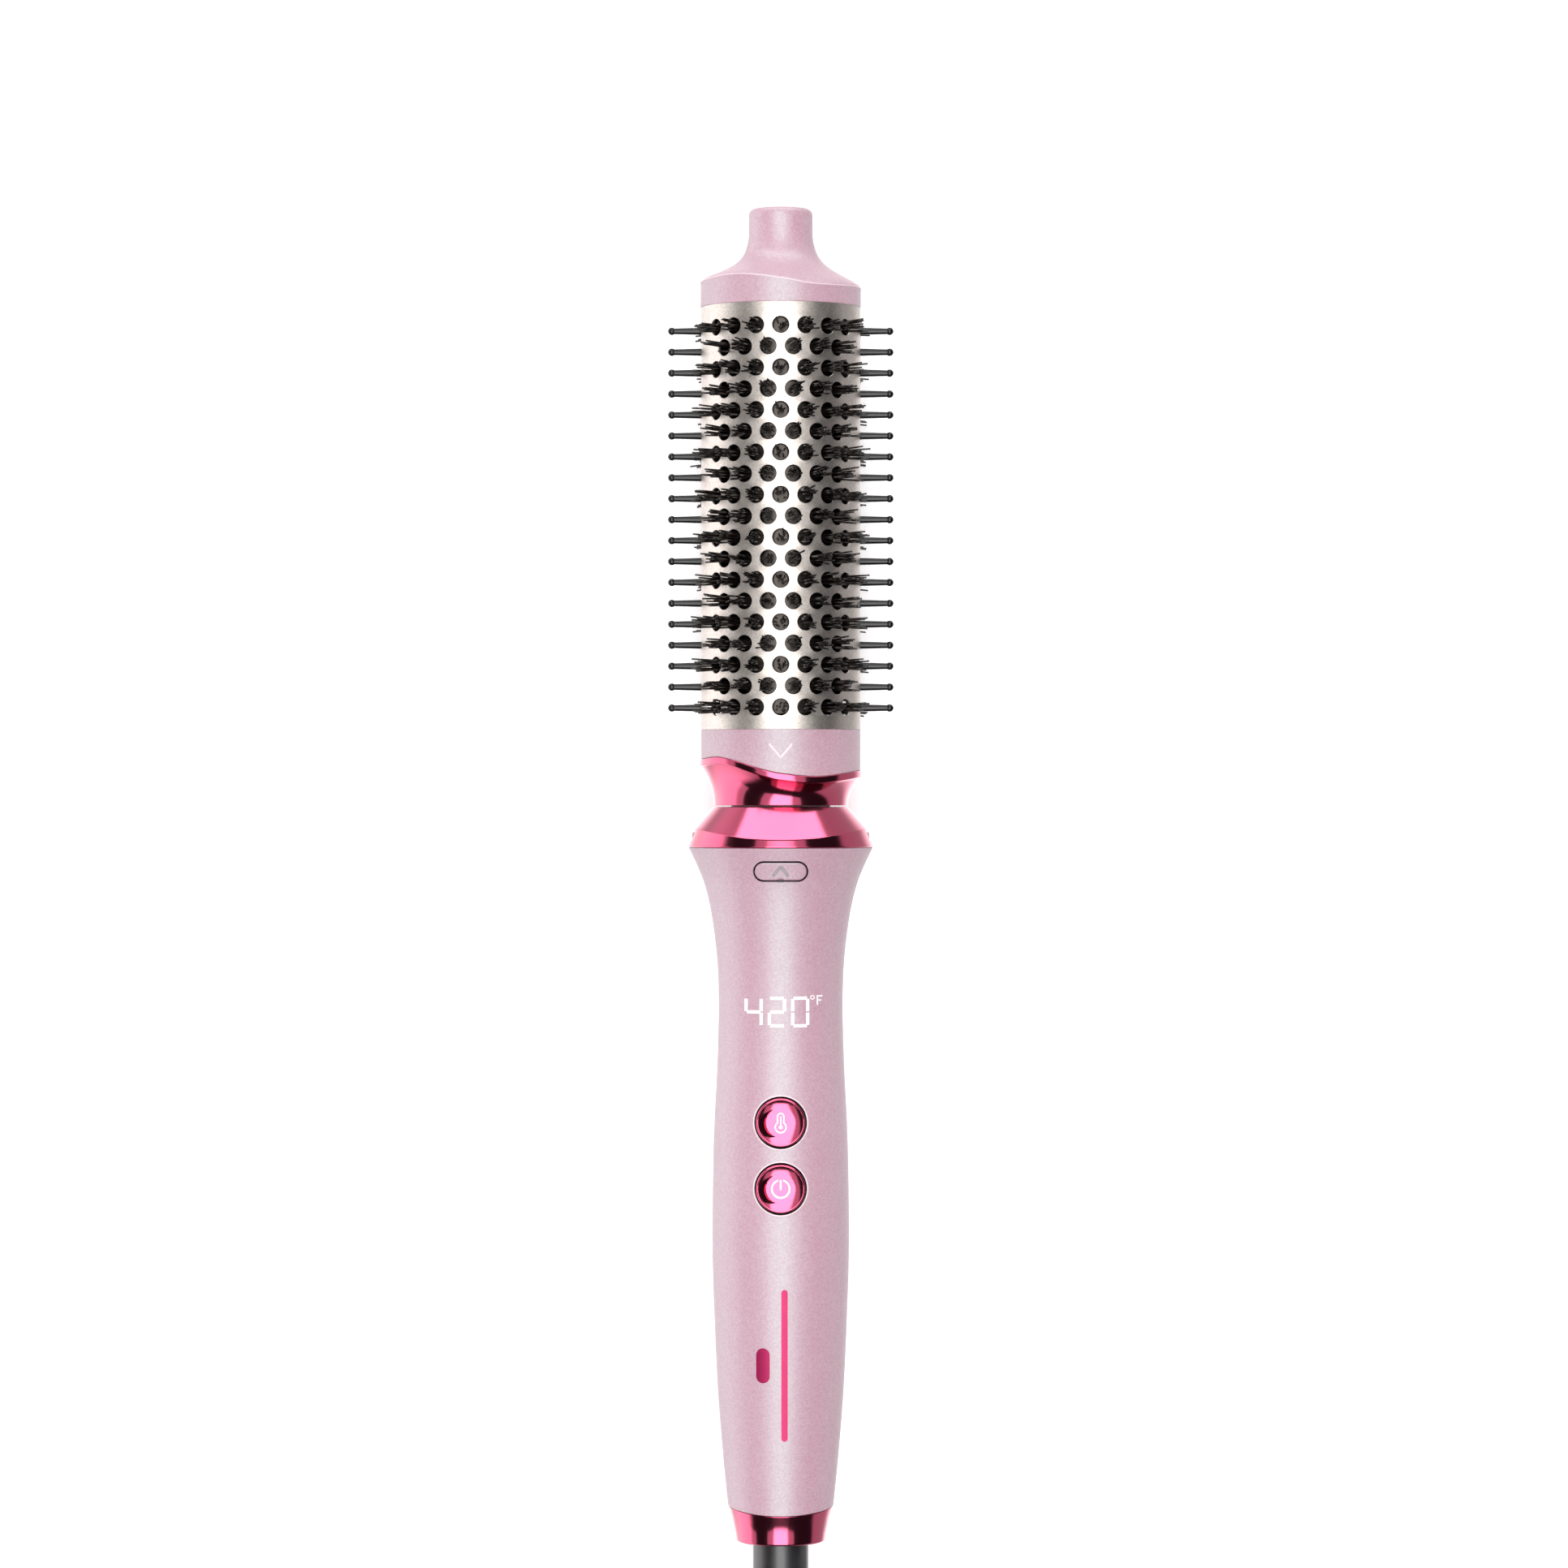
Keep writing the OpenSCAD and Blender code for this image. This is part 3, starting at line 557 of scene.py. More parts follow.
@dataclass(frozen=True)
class Finish:
    """A surface: what it is made of and how it was made."""

    name: str
    slot: str
    colour: str
    roughness: float
    metallic: float = 0.0
    ior: float | None = None
    second: str = ""
    patch_mm: float = 4.0
    grain_mm: float = 0.3
    bump: float = 0.1
    spread: float = 0.06
    coat: float = 0.0
    coat_roughness: float = 0.05
    coat_ior: float = 1.5
    sheen: float = 0.0
    glow: float = 0.0
    specular: float = 0.5
    specular_tint: str = "#ffffff"

    def noise(self, tree: bpy.types.NodeTree, place: bpy.types.NodeSocket,
              size_mm: float, detail: float = 2.0) -> bpy.types.NodeSocket:
        """Adds a noise whose patches have a real size.

        Args:
            tree: the material's tree.
            place: the coordinates.
            size_mm: the size of a patch.
            detail: how many finer layers it has.

        Returns:
            The noise's value.
        """
        node = add_node(tree, "ShaderNodeTexNoise", None,
                        {"Vector": place, "Scale": 1 / (size_mm * MM), "Detail": detail})
        return node.outputs["Fac"]

    def colouring(self, tree: bpy.types.NodeTree,
                  place: bpy.types.NodeSocket) -> bpy.types.NodeSocket | None:
        """Adds the pattern of the colour.

        Args:
            tree: the material's tree.
            place: the coordinates.

        Returns:
            The colour, or None where it is the same all over.
        """
        if not self.second:
            return None
        ramp = add_node(tree, "ShaderNodeValToRGB", None,
                        {"Fac": self.noise(tree, place, self.patch_mm)})
        stops = ((0.3, self.second), (0.7, self.colour))
        for stop, (place_on_ramp, code) in zip(ramp.color_ramp.elements, stops):
            stop.position = place_on_ramp
            stop.color = linear(code)
        return ramp.outputs["Color"]

    def relief(self, tree: bpy.types.NodeTree,
               place: bpy.types.NodeSocket) -> bpy.types.NodeSocket:
        """Gives the height of the surface's own texture."""
        return self.noise(tree, place, self.grain_mm)

    def material(self) -> bpy.types.Material:
        """Builds the material once and gives it again after that.

        Returns:
            The material.
        """
        known = bpy.data.materials.get(self.name)
        if known is not None:
            return known
        made = bpy.data.materials.new(self.name)
        made.use_nodes = True
        tree = made.node_tree
        shader = tree.nodes["Principled BSDF"]
        place = add_node(tree, "ShaderNodeTexCoord").outputs["Object"]
        values = {"Base Color": linear(self.colour), "Metallic": self.metallic,
                  "Coat Weight": self.coat, "Coat Roughness": self.coat_roughness,
                  "Coat IOR": self.coat_ior, "Sheen Weight": self.sheen,
                  "Specular IOR Level": self.specular,
                  "Specular Tint": linear(self.specular_tint)}
        if self.ior is not None:
            values["IOR"] = self.ior
        if self.glow:
            values.update({"Emission Color": linear(self.colour), "Emission Strength": self.glow})
        for key, value in values.items():
            shader.inputs[key].default_value = value
        colour = self.colouring(tree, place)
        if colour is not None:
            tree.links.new(colour, shader.inputs["Base Color"])
        wear = add_node(tree, "ShaderNodeMapRange", None, {
            "Value": self.noise(tree, place, WEAR_PATCH * self.grain_mm, 3.0),
            "To Min": max(0.0, self.roughness - self.spread),
            "To Max": self.roughness + self.spread})
        tree.links.new(wear.outputs["Result"], shader.inputs["Roughness"])
        bump = add_node(tree, "ShaderNodeBump", None, {
            "Strength": self.bump, "Distance": BUMP_DEPTH, "Height": self.relief(tree, place)})
        tree.links.new(bump.outputs["Normal"], shader.inputs["Normal"])
        return made

    def dress(self, piece: bpy.types.Object) -> bpy.types.Object:
        """Gives a piece this finish alone.

        Args:
            piece: a new piece or a CAD node.

        Returns:
            The same piece.
        """
        if piece.data.materials:
            for i in range(len(piece.data.materials)):
                piece.data.materials[i] = self.material()
        else:
            piece.data.materials.append(self.material())
        return piece


@dataclass(frozen=True)
class FlakeFinish(Finish):
    """A lacquer or metal with flakes or grit that sparkle singly."""

    flake: str = "#ffffff"
    flake_mm: float = 0.4
    flake_share: float = 0.3

    def colouring(self, tree: bpy.types.NodeTree,
                  place: bpy.types.NodeSocket) -> bpy.types.NodeSocket | None:
        """Scatters flakes over the ground colour.

        Args:
            tree: the material's tree.
            place: the coordinates.

        Returns:
            The colour.
        """
        cells = add_node(tree, "ShaderNodeTexVoronoi", None,
                         {"Vector": place, "Scale": 1 / (self.flake_mm * MM)})
        level = add_node(tree, "ShaderNodeSeparateColor", None,
                         {"Color": cells.outputs["Color"]})
        amount = add_node(tree, "ShaderNodeMapRange", None, {
            "Value": level.outputs["Red"], "To Min": 0.0, "To Max": self.flake_share})
        mix = add_node(tree, "ShaderNodeMix", {"data_type": "RGBA"},
                       {0: amount, 7: linear(self.flake), 6: linear(self.colour)})
        return mix.outputs[2]


@dataclass(frozen=True)
class WovenFinish(Finish):
    """A narrow woven strap: threads cross at right angles."""

    thread_mm: float = 0.9
    band_scale: float = 6.28

    def relief(self, tree: bpy.types.NodeTree,
               place: bpy.types.NodeSocket) -> bpy.types.NodeSocket:
        """Gives the weave's height from two sets of threads.

        Args:
            tree: the material's tree.
            place: the coordinates.

        Returns:
            The height.
        """
        waves = [add_node(tree, "ShaderNodeTexWave",
                          {"wave_type": "BANDS", "bands_direction": way},
                          {"Vector": place, "Scale": 1 / (self.thread_mm * MM * self.band_scale)})
                 for way in ("X", "Y")]
        return add_node(tree, "ShaderNodeMath", {"operation": "ADD"},
                        {0: waves[0].outputs["Fac"], 1: waves[1].outputs["Fac"]}).outputs[0]


# Pearl-lacquered moulded plastic: the mica gives a broad, nearly white highlight over the pink,
# with fine pale flakes in it
PEARL = FlakeFinish("pearl_lacquered_abs", "pearl_pink_plastic", "#c090a2", 0.44,
                    ior=1.68, grain_mm=0.33, bump=0.5, specular=1.0, specular_tint="#c4fff2",
                    flake="#f6e6ec", flake_mm=0.33, flake_share=0.2)
# The same lacquer, paler and a little glossier: a painted highlight along the cap's ridge and round
# the wells' lips
PEARL_HIGHLIGHT = Finish("pearl_lacquer_edge", "pearl_pink_plastic", "#ecd5de", 0.3, 0.1, bump=0.04)
# Hot-stamped foil of the printed stripes: a duller mirror than the plating
FOIL = Finish("hot_stamped_magenta_foil", "plated_magenta", "#aa1a54", 0.36, 0.5, grain_mm=0.5)
# A paler pink on the walls of the collar's engraved arrow, a painted highlight that lifts the
# groove out of its shade; grey paint at the bottom of the release key's mark
GROOVE_HIGHLIGHT = Finish("engraving_bare_abs", "pearl_pink_plastic", "#ecd8e0", 0.5)
ENGRAVED_GREY = Finish("engraving_paint_grey", "pearl_pink_plastic", "#a8a2a6", 0.5)
# Near-black maroon on the keys' upright walls and the release key's notch: painted shade in the gap
# round each key
KEY_GAP_SHADE = Finish("moulded_gasket_maroon", "dark_plastic", "#1c0409", 0.5, spread=0.03)
# Bright plating under a tinted lacquer: a dark mirror with a saturated body and pale highlights
PLATED = Finish("tinted_chrome_plate", "plated_magenta", "#d2406c", 0.12, 1.0, spread=0.02,
                grain_mm=0.6, bump=0.01, coat=0.7, coat_roughness=0.15, coat_ior=1.8)
# Champagne-coated aluminium, bead-blasted: grainy satin with a wide soft highlight
SATIN = FlakeFinish("bead_blasted_champagne_aluminium", "satin_barrel_metal", "#c9bfb7", 0.43, 1.0,
                    grain_mm=0.3, bump=0.7, flake="#f6f2ee", flake_mm=0.32, flake_share=0.4)
# Black nylon filament: smooth drawn strands, each with a thin highlight
BRISTLE = Finish("drawn_nylon_filament", "bristle_nylon", "#0c0807", 0.3, second="#1d1512",
                 patch_mm=2.0, bump=0.05)
# Glossy black nylon of the ball-tipped pins: a small sharp highlight on each ball
PIN = Finish("moulded_black_nylon", "pin_nylon", "#060606", 0.24, bump=0.05)
# Black-nickelled strip that holds the tufts: dark, but it mirrors the lights
CARRIER = Finish("black_nickel_strip", "dark_plastic", "#3f3b38", 0.26, 1.0, bump=0.2)
# Pale pink nylon that stands the heat: matt, inside the socket and on the spigot
SOCKET_PINK = Finish("heat_resistant_pink_nylon", "pink_socket_plastic", "#e0bcc8", 0.42,
                     second="#d8b0be", bump=0.08)
# Plain dark plastic of inner parts: an even near-black; on the cut walls of the wells and the
# collar's windows it is painted shade
DARK = Finish("moulded_dark_abs", "dark_plastic", "#272527", 0.5, second="#2f2c2f")
# Fired ceramic: chalky warm white
CERAMIC = Finish("alumina_ceramic", "ceramic_white", "#ebe7dd", 0.45, second="#e2ddd0")
# Uncoloured nylon: a waxy off-white
WHITE = Finish("natural_nylon", "white_plastic", "#e2dfd6", 0.48, second="#d8d4c8")
# Silicone sleeving of the wires: soft rust orange
SLEEVE = Finish("silicone_sleeve", "wire_sleeve", "#c05a26", 0.5, second="#aa4c1e")
# Bare extruded aluminium: a soft grey mirror
ALUMINIUM = Finish("extruded_aluminium", "bare_aluminium", "#c9cbcd", 0.3, 1.0,
                   second="#bfc1c3", grain_mm=0.5)
# Contacts and rings: warm drawn copper, slightly uneven
COPPER = Finish("drawn_copper_alloy", "copper_alloy", "#c98b52", 0.28, 1.0, second="#b87a43")
# Pins, screws and springs: a clear cool mirror
STEEL = Finish("nickel_plated_steel", "bright_steel", "#c6c8ca", 0.2, 1.0, second="#b9bbbe")
# Blades of the plug: a mirror with a faint yellow in it
BLADE = Finish("nickel_plated_brass", "plug_brass", "#cfc6ab", 0.22, 1.0, second="#c3b998")
# Lacquered circuit board: glossy green
BOARD = Finish("solder_mask_green", "board_green", "#1f6b3d", 0.35, second="#1a5d35")
# Digits and icons: white, and lit a little from behind
LIT = Finish("lit_white_print", "lit_white", "#efedee", 0.5, glow=0.06, spread=0.02, bump=0.02)
# Satin soft plastic of the stem and its sleeve: dull grey with a broad sheen
STEM = Finish("satin_grey_elastomer", "grey_rubber", "#262527", 0.3, second="#2d2c2e",
              grain_mm=0.4, bump=0.12, specular=0.8)
# Cord and plug: soft black plastic with a wide dull highlight
CORD_PVC = Finish("extruded_pvc_black", "cord_pvc", "#121213", 0.42, second="#1a1a1b",
                  grain_mm=0.5, bump=0.12)
# Hook-and-loop strap: black and matt, with the weave showing in raking light
STRAP = WovenFinish("hook_and_loop_nylon", "tie_fabric", "#121215", 0.85, second="#1d1d21",
                    bump=0.8, sheen=0.3)
# Paper under the brush: nearly pure white, with a soft contact shadow on it
FLOOR = Finish("white_paper_sweep", "", "#f1eff0", 0.8, second="#efedee", patch_mm=300,
               grain_mm=2.0, bump=0.02, glow=0.5)


def settle(piece: bpy.types.Object, body: str, finish: Finish, *nodes: str) -> bpy.types.Object:
    """Dresses a piece and ties it to its body and to the nodes it stands for.

    Args:
        piece: the finished piece.
        body: the CAD body that it rides on.
        finish: its main finish.
        nodes: the CAD nodes that it replaces.

    Returns:
        The same piece.
    """
    if not piece.data.materials:
        finish.dress(piece)
    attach(piece, body)
    if nodes:
        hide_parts(*nodes)
    log.info("%s on %s", piece.name, body)
    return piece


def keep_node(finish: Finish, *names: str) -> None:
    """Gives CAD nodes whose shape is right a better material.

    Args:
        finish: the finish.
        names: the nodes.
    """
    for name in names:
        finish.dress(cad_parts[name])
        log.info("%s keeps its shape in %s", name, finish.name)


# ------------------------------------------------------------ shared outlines

# The grip's radius along the handle, as (radius, distance from the tip)
GRIP = Outline(((22.0, 153.0), (20.1, 157), (18.45, 161), (17.1, 166), (16.05, 172),
                (15.15, 180), (14.82, 188), (14.85, 195), (15.2, 206), (15.9, 220),
                (16.25, 235), (16.3, 250), (15.9, 263), (15.05, 282), (13.8, 298),
                (12.55, 310.4)))
# The wavy edge between collar and ring, as (distance from the tip, place across)
WAVE = Outline(((132.1, -20), (131.5, -14.5), (134.2, -5), (135.3, 0), (136, 9.5), (134.5, 20)))


def grip_height(x: float, at: float) -> float:
    """Gives the height of the grip's face over the axis at a place across and along."""
    return math.sqrt(max(GRIP.height(at) ** 2 - x * x, 0.0))


# ------------------------------------------------------------------ brush head

@dataclass
class TipCap:
    """The cool tip that the second hand holds: a neck, a flare and a band with a wavy ridge."""

    start: float = 0.5
    corner: float = 1.75
    neck_r: float = 7.65
    band_r: float = 19.15
    band_end: float = 24.2
    ridge_at: float = 18.9
    ridge_line: float = 0.13
    # How far the painted highlight line's centre lies below the ridge and under the band's face
    line_shift: tuple[float, float] = (0.12, 0.04)
    wave_from: float = 9.0
    flare: Outline = Outline(((7.65, 7.2), (8.0, 9.2), (9.1, 12), (11.3, 14.3), (14.5, 16.2),
                              (17.3, 17.6), (18.75, 18.45)))
    # Where the ridge runs, as (distance from the tip, place across)
    ridge: Outline = Outline(((18.0, -20), (17.35, -11), (18.55, 0), (19.8, 8), (19.4, 20)))

    def section(self, angle: float) -> Profile:
        """Gives the cap's outline at an angle, with the ridge's wave in it.

        Args:
            angle: degrees from the front.

        Returns:
            The outline from the tip's centre round to the hollow's centre.
        """
        lift = self.ridge.height(self.band_r * math.sin(math.radians(angle))) - self.ridge_at
        outer: list[tuple[float, ...]] = [(0, self.start),
                                         (self.neck_r, self.start, self.corner)]
        for radius, at in self.flare.points(5):
            share = max(0.0, (at - self.wave_from) / (self.ridge_at - self.wave_from)) ** 2
            outer.append((radius, at + lift * share))
        outer += [(self.band_r + 0.05, self.ridge_at + lift, 0.35),
                  (self.band_r, self.ridge_at + lift + 1.0),
                  (self.band_r, self.band_end, 0.25), (18.0, self.band_end),
                  (18.0, 27.2), (16.4, 27.2), (16.4, 21.4), (12, 19.4), (8, 15.2), (3.2, 14),
                  (3.2, 25.4), (0, 25.4)]
        return outer

    def build(self) -> None:
        """Builds the cap with a pale line along its ridge, a painted highlight, and dresses it."""
        cap = PEARL.dress(turned("tip_cap_shell", self.section, closed=False))
        below, under = self.line_shift
        line = []
        for k in range(ROUND_STEPS):
            angle = 360 * k / ROUND_STEPS
            at = self.ridge.height(self.band_r * math.sin(math.radians(angle)))
            line.append(spot(angle, at + below, self.band_r - under))
        # The pale tube along the ridge is a painted highlight on the crest
        painted_highlight = PEARL_HIGHLIGHT.dress(tube_along("ridge_line", line, self.ridge_line, closed=True))
        settle(merged("tip_cap_shell", [cap, painted_highlight]), "brush_head", PEARL, "tip_cap")


class Cell(Enum):
    """A tile of the unrolled barrel wall; a plain one is half as wide as the others."""

    BRISTLE = 0
    PIN = 1
    PLAIN = 2

    @property
    def socket(self) -> str:
        """Gives the name of the tree's input that takes the tile."""
        return f"{self.name.title()} Tile"


@dataclass
class Holes:
    """Where the holes of the barrel are."""

    rows: int = 19
    first: float = 29.7
    pitch: float = 5.0
    step: float = 18.0
    banks: tuple[float, float] = (0.0, 180.0)
    pins: tuple[float, float] = (90.0, 270.0)

    def in_row(self, row: int) -> int:
        """Gives the number of holes of one bank in a row."""
        return 7 - row % 2

    def along(self, row: int) -> float:
        """Gives a row's distance from the tip."""
        return self.first + row * self.pitch

    def bank(self, centre: float) -> list[tuple[float, float]]:
        """Lists one bank's holes.

        Args:
            centre: the angle of the bank's middle.

        Returns:
            (angle, distance from the tip) of each hole.
        """
        return [(centre + (k - (self.in_row(row) - 1) / 2) * self.step, self.along(row))
                for row in range(self.rows) for k in range(self.in_row(row))]


@dataclass
class Barrel:
    """The perforated metal barrel, tiled from cells that are wrapped round the axis."""

    holes: Holes = field(default_factory=Holes)
    radius: float = 19.0
    wall: float = 0.9
    start: float = 24.2
    end: float = 124.9
    hole_r: float = 1.95
    pin_hole_r: float = 1.15
    chamfer: float = 0.1
    side_parts: int = 8
    weld: float = 0.005

    def tile(self, kind: Cell) -> bpy.types.Object:
        """Builds one flat tile, whose X is arc length and Y runs along the barrel.

        Args:
            kind: what the tile holds.

        Returns:
            The tile as an object, which the wall's build removes once it is used.
        """
        arc = math.radians(self.holes.step) * self.radius * (0.5 if kind is Cell.PLAIN else 1.0)
        half = (arc / 2 * MM, self.holes.pitch / 2 * MM)
        across = self.side_parts // (2 if kind is Cell.PLAIN else 1)
        mesh = bmesh.new()
        if kind is Cell.PLAIN:
            grid = [[mesh.verts.new((half[0] * (2 * i / across - 1),
                                     half[1] * (2 * k / self.side_parts - 1), 0))
                     for k in range(self.side_parts + 1)] for i in range(across + 1)]
            for i in range(across):
                for k in range(self.side_parts):
                    mesh.faces.new((grid[i][k], grid[i + 1][k], grid[i + 1][k + 1], grid[i][k + 1]))
        else:
            radius = (self.hole_r if kind is Cell.BRISTLE else self.pin_hole_r) * MM
            steps = [2 * k / self.side_parts - 1 for k in range(self.side_parts)]
            edge = ([(s, -1) for s in steps] + [(1, s) for s in steps]
                    + [(-s, 1) for s in steps] + [(-1, -s) for s in steps])
            rings: list[list[bmesh.types.BMVert]] = [[], [], []]
            for x, y in edge:
                turn = math.atan2(y, x)
                way = Vector((math.cos(turn), math.sin(turn), 0))
                rings[0].append(mesh.verts.new(way * radius - Vector((0, 0, self.chamfer * MM))))
                rings[1].append(mesh.verts.new(way * (radius + self.chamfer * MM)))
                rings[2].append(mesh.verts.new((x * half[0], y * half[1], 0)))
            for inner, outer in zip(rings, rings[1:]):
                for k in range(len(edge)):
                    after = (k + 1) % len(edge)
                    mesh.faces.new((inner[k], outer[k], outer[after], inner[after]))
        data = bpy.data.meshes.new(f"tile_{kind.name.lower()}")
        mesh.to_mesh(data)
        mesh.free()
        return linked(data.name, data)

    def layout(self) -> tuple[list[Vector], list[int], list[float]]:
        """Places every tile on the unrolled wall.

        Returns:
            Places as (arc length, along, 0) in metres, tile kinds, and stretches along.
        """
        places: list[tuple[float, float, Cell, float]] = []
        holes = self.holes
        plain = holes.step / 2
        for centre in holes.banks:
            places += [(angle, at, Cell.BRISTLE, 1.0) for angle, at in holes.bank(centre)]
        for row in range(holes.rows):
            at = holes.along(row)
            places += [(angle, at, Cell.PIN, 1.0) for angle in holes.pins]
            reach = holes.in_row(row) * holes.step / 2
            for centre in holes.banks:
                gaps = range(round((90 - plain - reach) / plain))
                places += [(centre + side * (reach + plain * (k + 0.5)), at, Cell.PLAIN, 1.0)
                           for side in (-1, 1) for k in gaps]
        top = holes.first - holes.pitch / 2
        bottom = holes.along(holes.rows - 1) + holes.pitch / 2
        for low, high in ((self.start, top), (bottom, self.end)):
            places += [(plain * (k + 0.5), (low + high) / 2, Cell.PLAIN,
                        (high - low) / holes.pitch) for k in range(round(360 / plain))]
        arcs = [math.radians(angle % 360) * self.radius * MM for angle, *_ in places]
        points = [Vector((arc, -p[1] * MM, 0)) for arc, p in zip(arcs, places)]
        return points, [p[2].value for p in places], [p[3] for p in places]

    def tree(self) -> bpy.types.NodeTree:
        """Builds the tree that tiles the wall and wraps it round the axis.

        Returns:
            The tree.
        """
        tree, given = new_tree("perforated_wall", {
            **{kind.socket: "Object" for kind in Cell}, "Radius": "Float", "Tip": "Float",
            "Axis Height": "Float", "Material": "Material"})
        kind_of = add_node(tree, "GeometryNodeInputNamedAttribute", {"data_type": "INT"},
                           {"Name": "kind"})
        stretch = add_node(tree, "GeometryNodeInputNamedAttribute", {"data_type": "FLOAT"},
                           {"Name": "stretch"})
        scale = add_node(tree, "ShaderNodeCombineXYZ", None, {"X": 1.0, "Y": stretch, "Z": 1.0})
        joined = add_node(tree, "GeometryNodeJoinGeometry")
        for kind in Cell:
            tile = add_node(tree, "GeometryNodeObjectInfo", None,
                            {"Object": given[kind.socket]})
            chosen = add_node(tree, "FunctionNodeCompare",
                              {"data_type": "INT", "operation": "EQUAL"},
                              {2: kind_of, 3: kind.value})
            tiles = add_node(tree, "GeometryNodeInstanceOnPoints", None, {
                "Points": given["Geometry"], "Selection": chosen,
                "Instance": tile.outputs["Geometry"], "Scale": scale})
            tree.links.new(tiles.outputs[0], joined.inputs[0])
        real = add_node(tree, "GeometryNodeRealizeInstances", None, {0: joined})
        flat = add_node(tree, "ShaderNodeSeparateXYZ", None,
                        {0: add_node(tree, "GeometryNodeInputPosition")})
        turn = add_node(tree, "ShaderNodeMath", {"operation": "DIVIDE"},
                        {0: flat.outputs["X"], 1: given["Radius"]})
        reach = add_node(tree, "ShaderNodeMath", {"operation": "ADD"},
                         {0: given["Radius"], 1: flat.outputs["Z"]})
        sine = add_node(tree, "ShaderNodeMath", {"operation": "SINE"}, {0: turn})
        cosine = add_node(tree, "ShaderNodeMath", {"operation": "COSINE"}, {0: turn})
        across = add_node(tree, "ShaderNodeMath", {"operation": "MULTIPLY"}, {0: sine, 1: reach})
        along = add_node(tree, "ShaderNodeMath", {"operation": "ADD"},
                         {0: flat.outputs["Y"], 1: given["Tip"]})
        up = add_node(tree, "ShaderNodeMath", {"operation": "MULTIPLY_ADD"},
                      {0: cosine, 1: reach, 2: given["Axis Height"]})
        wrapped = add_node(tree, "ShaderNodeCombineXYZ", None,
                           {0: across, 1: along, 2: up})
        bent = add_node(tree, "GeometryNodeSetPosition", None,
                        {"Geometry": real, "Position": wrapped})
        closed = add_node(tree, "GeometryNodeMergeByDistance", None,
                          {"Geometry": bent, "Distance": self.weld * MM})
        return end_tree(tree, closed, given)

    def build(self) -> None:
        """Tiles, wraps and thickens the wall."""
        points, kinds, stretches = self.layout()
        data = bpy.data.meshes.new("perforated_barrel")
        data.from_pydata(points, [], [])
        data.attributes.new("kind", "INT", "POINT").data.foreach_set("value", kinds)
        data.attributes.new("stretch", "FLOAT", "POINT").data.foreach_set("value", stretches)
        piece = linked(data.name, data)
        tiles = {kind.socket: self.tile(kind) for kind in Cell}
        values = {**tiles, "Radius": self.radius * MM, "Tip": TIP_Y, "Axis Height": AXIS_Z,
                  "Material": SATIN.material()}
        grown(piece, self.tree(), values)
        for tile in tiles.values():
            bpy.data.objects.remove(tile)
        wall = piece.modifiers.new("wall", "SOLIDIFY")
        wall.thickness = self.wall * MM
        wall.offset = -1
        flattened(piece)
        shade(piece.data)
        settle(piece, "brush_head", SATIN, "barrel")


def grown(piece: bpy.types.Object, tree: bpy.types.NodeTree, values: dict) -> bpy.types.Object:
    """Runs a Geometry Nodes tree on a piece and bakes it to plain mesh.

    Args:
        piece: the piece that holds the tree's base geometry.
        tree: the tree.
        values: the tree's inputs by name.

    Returns:
        The same piece.
    """
    change = piece.modifiers.new(tree.name, "NODES")
    change.node_group = tree
    keys = {item.name: item.identifier for item in tree.interface.items_tree
            if item.in_out == "INPUT"}
    for name, value in values.items():
        change[keys[name]] = value
    return flattened(piece)


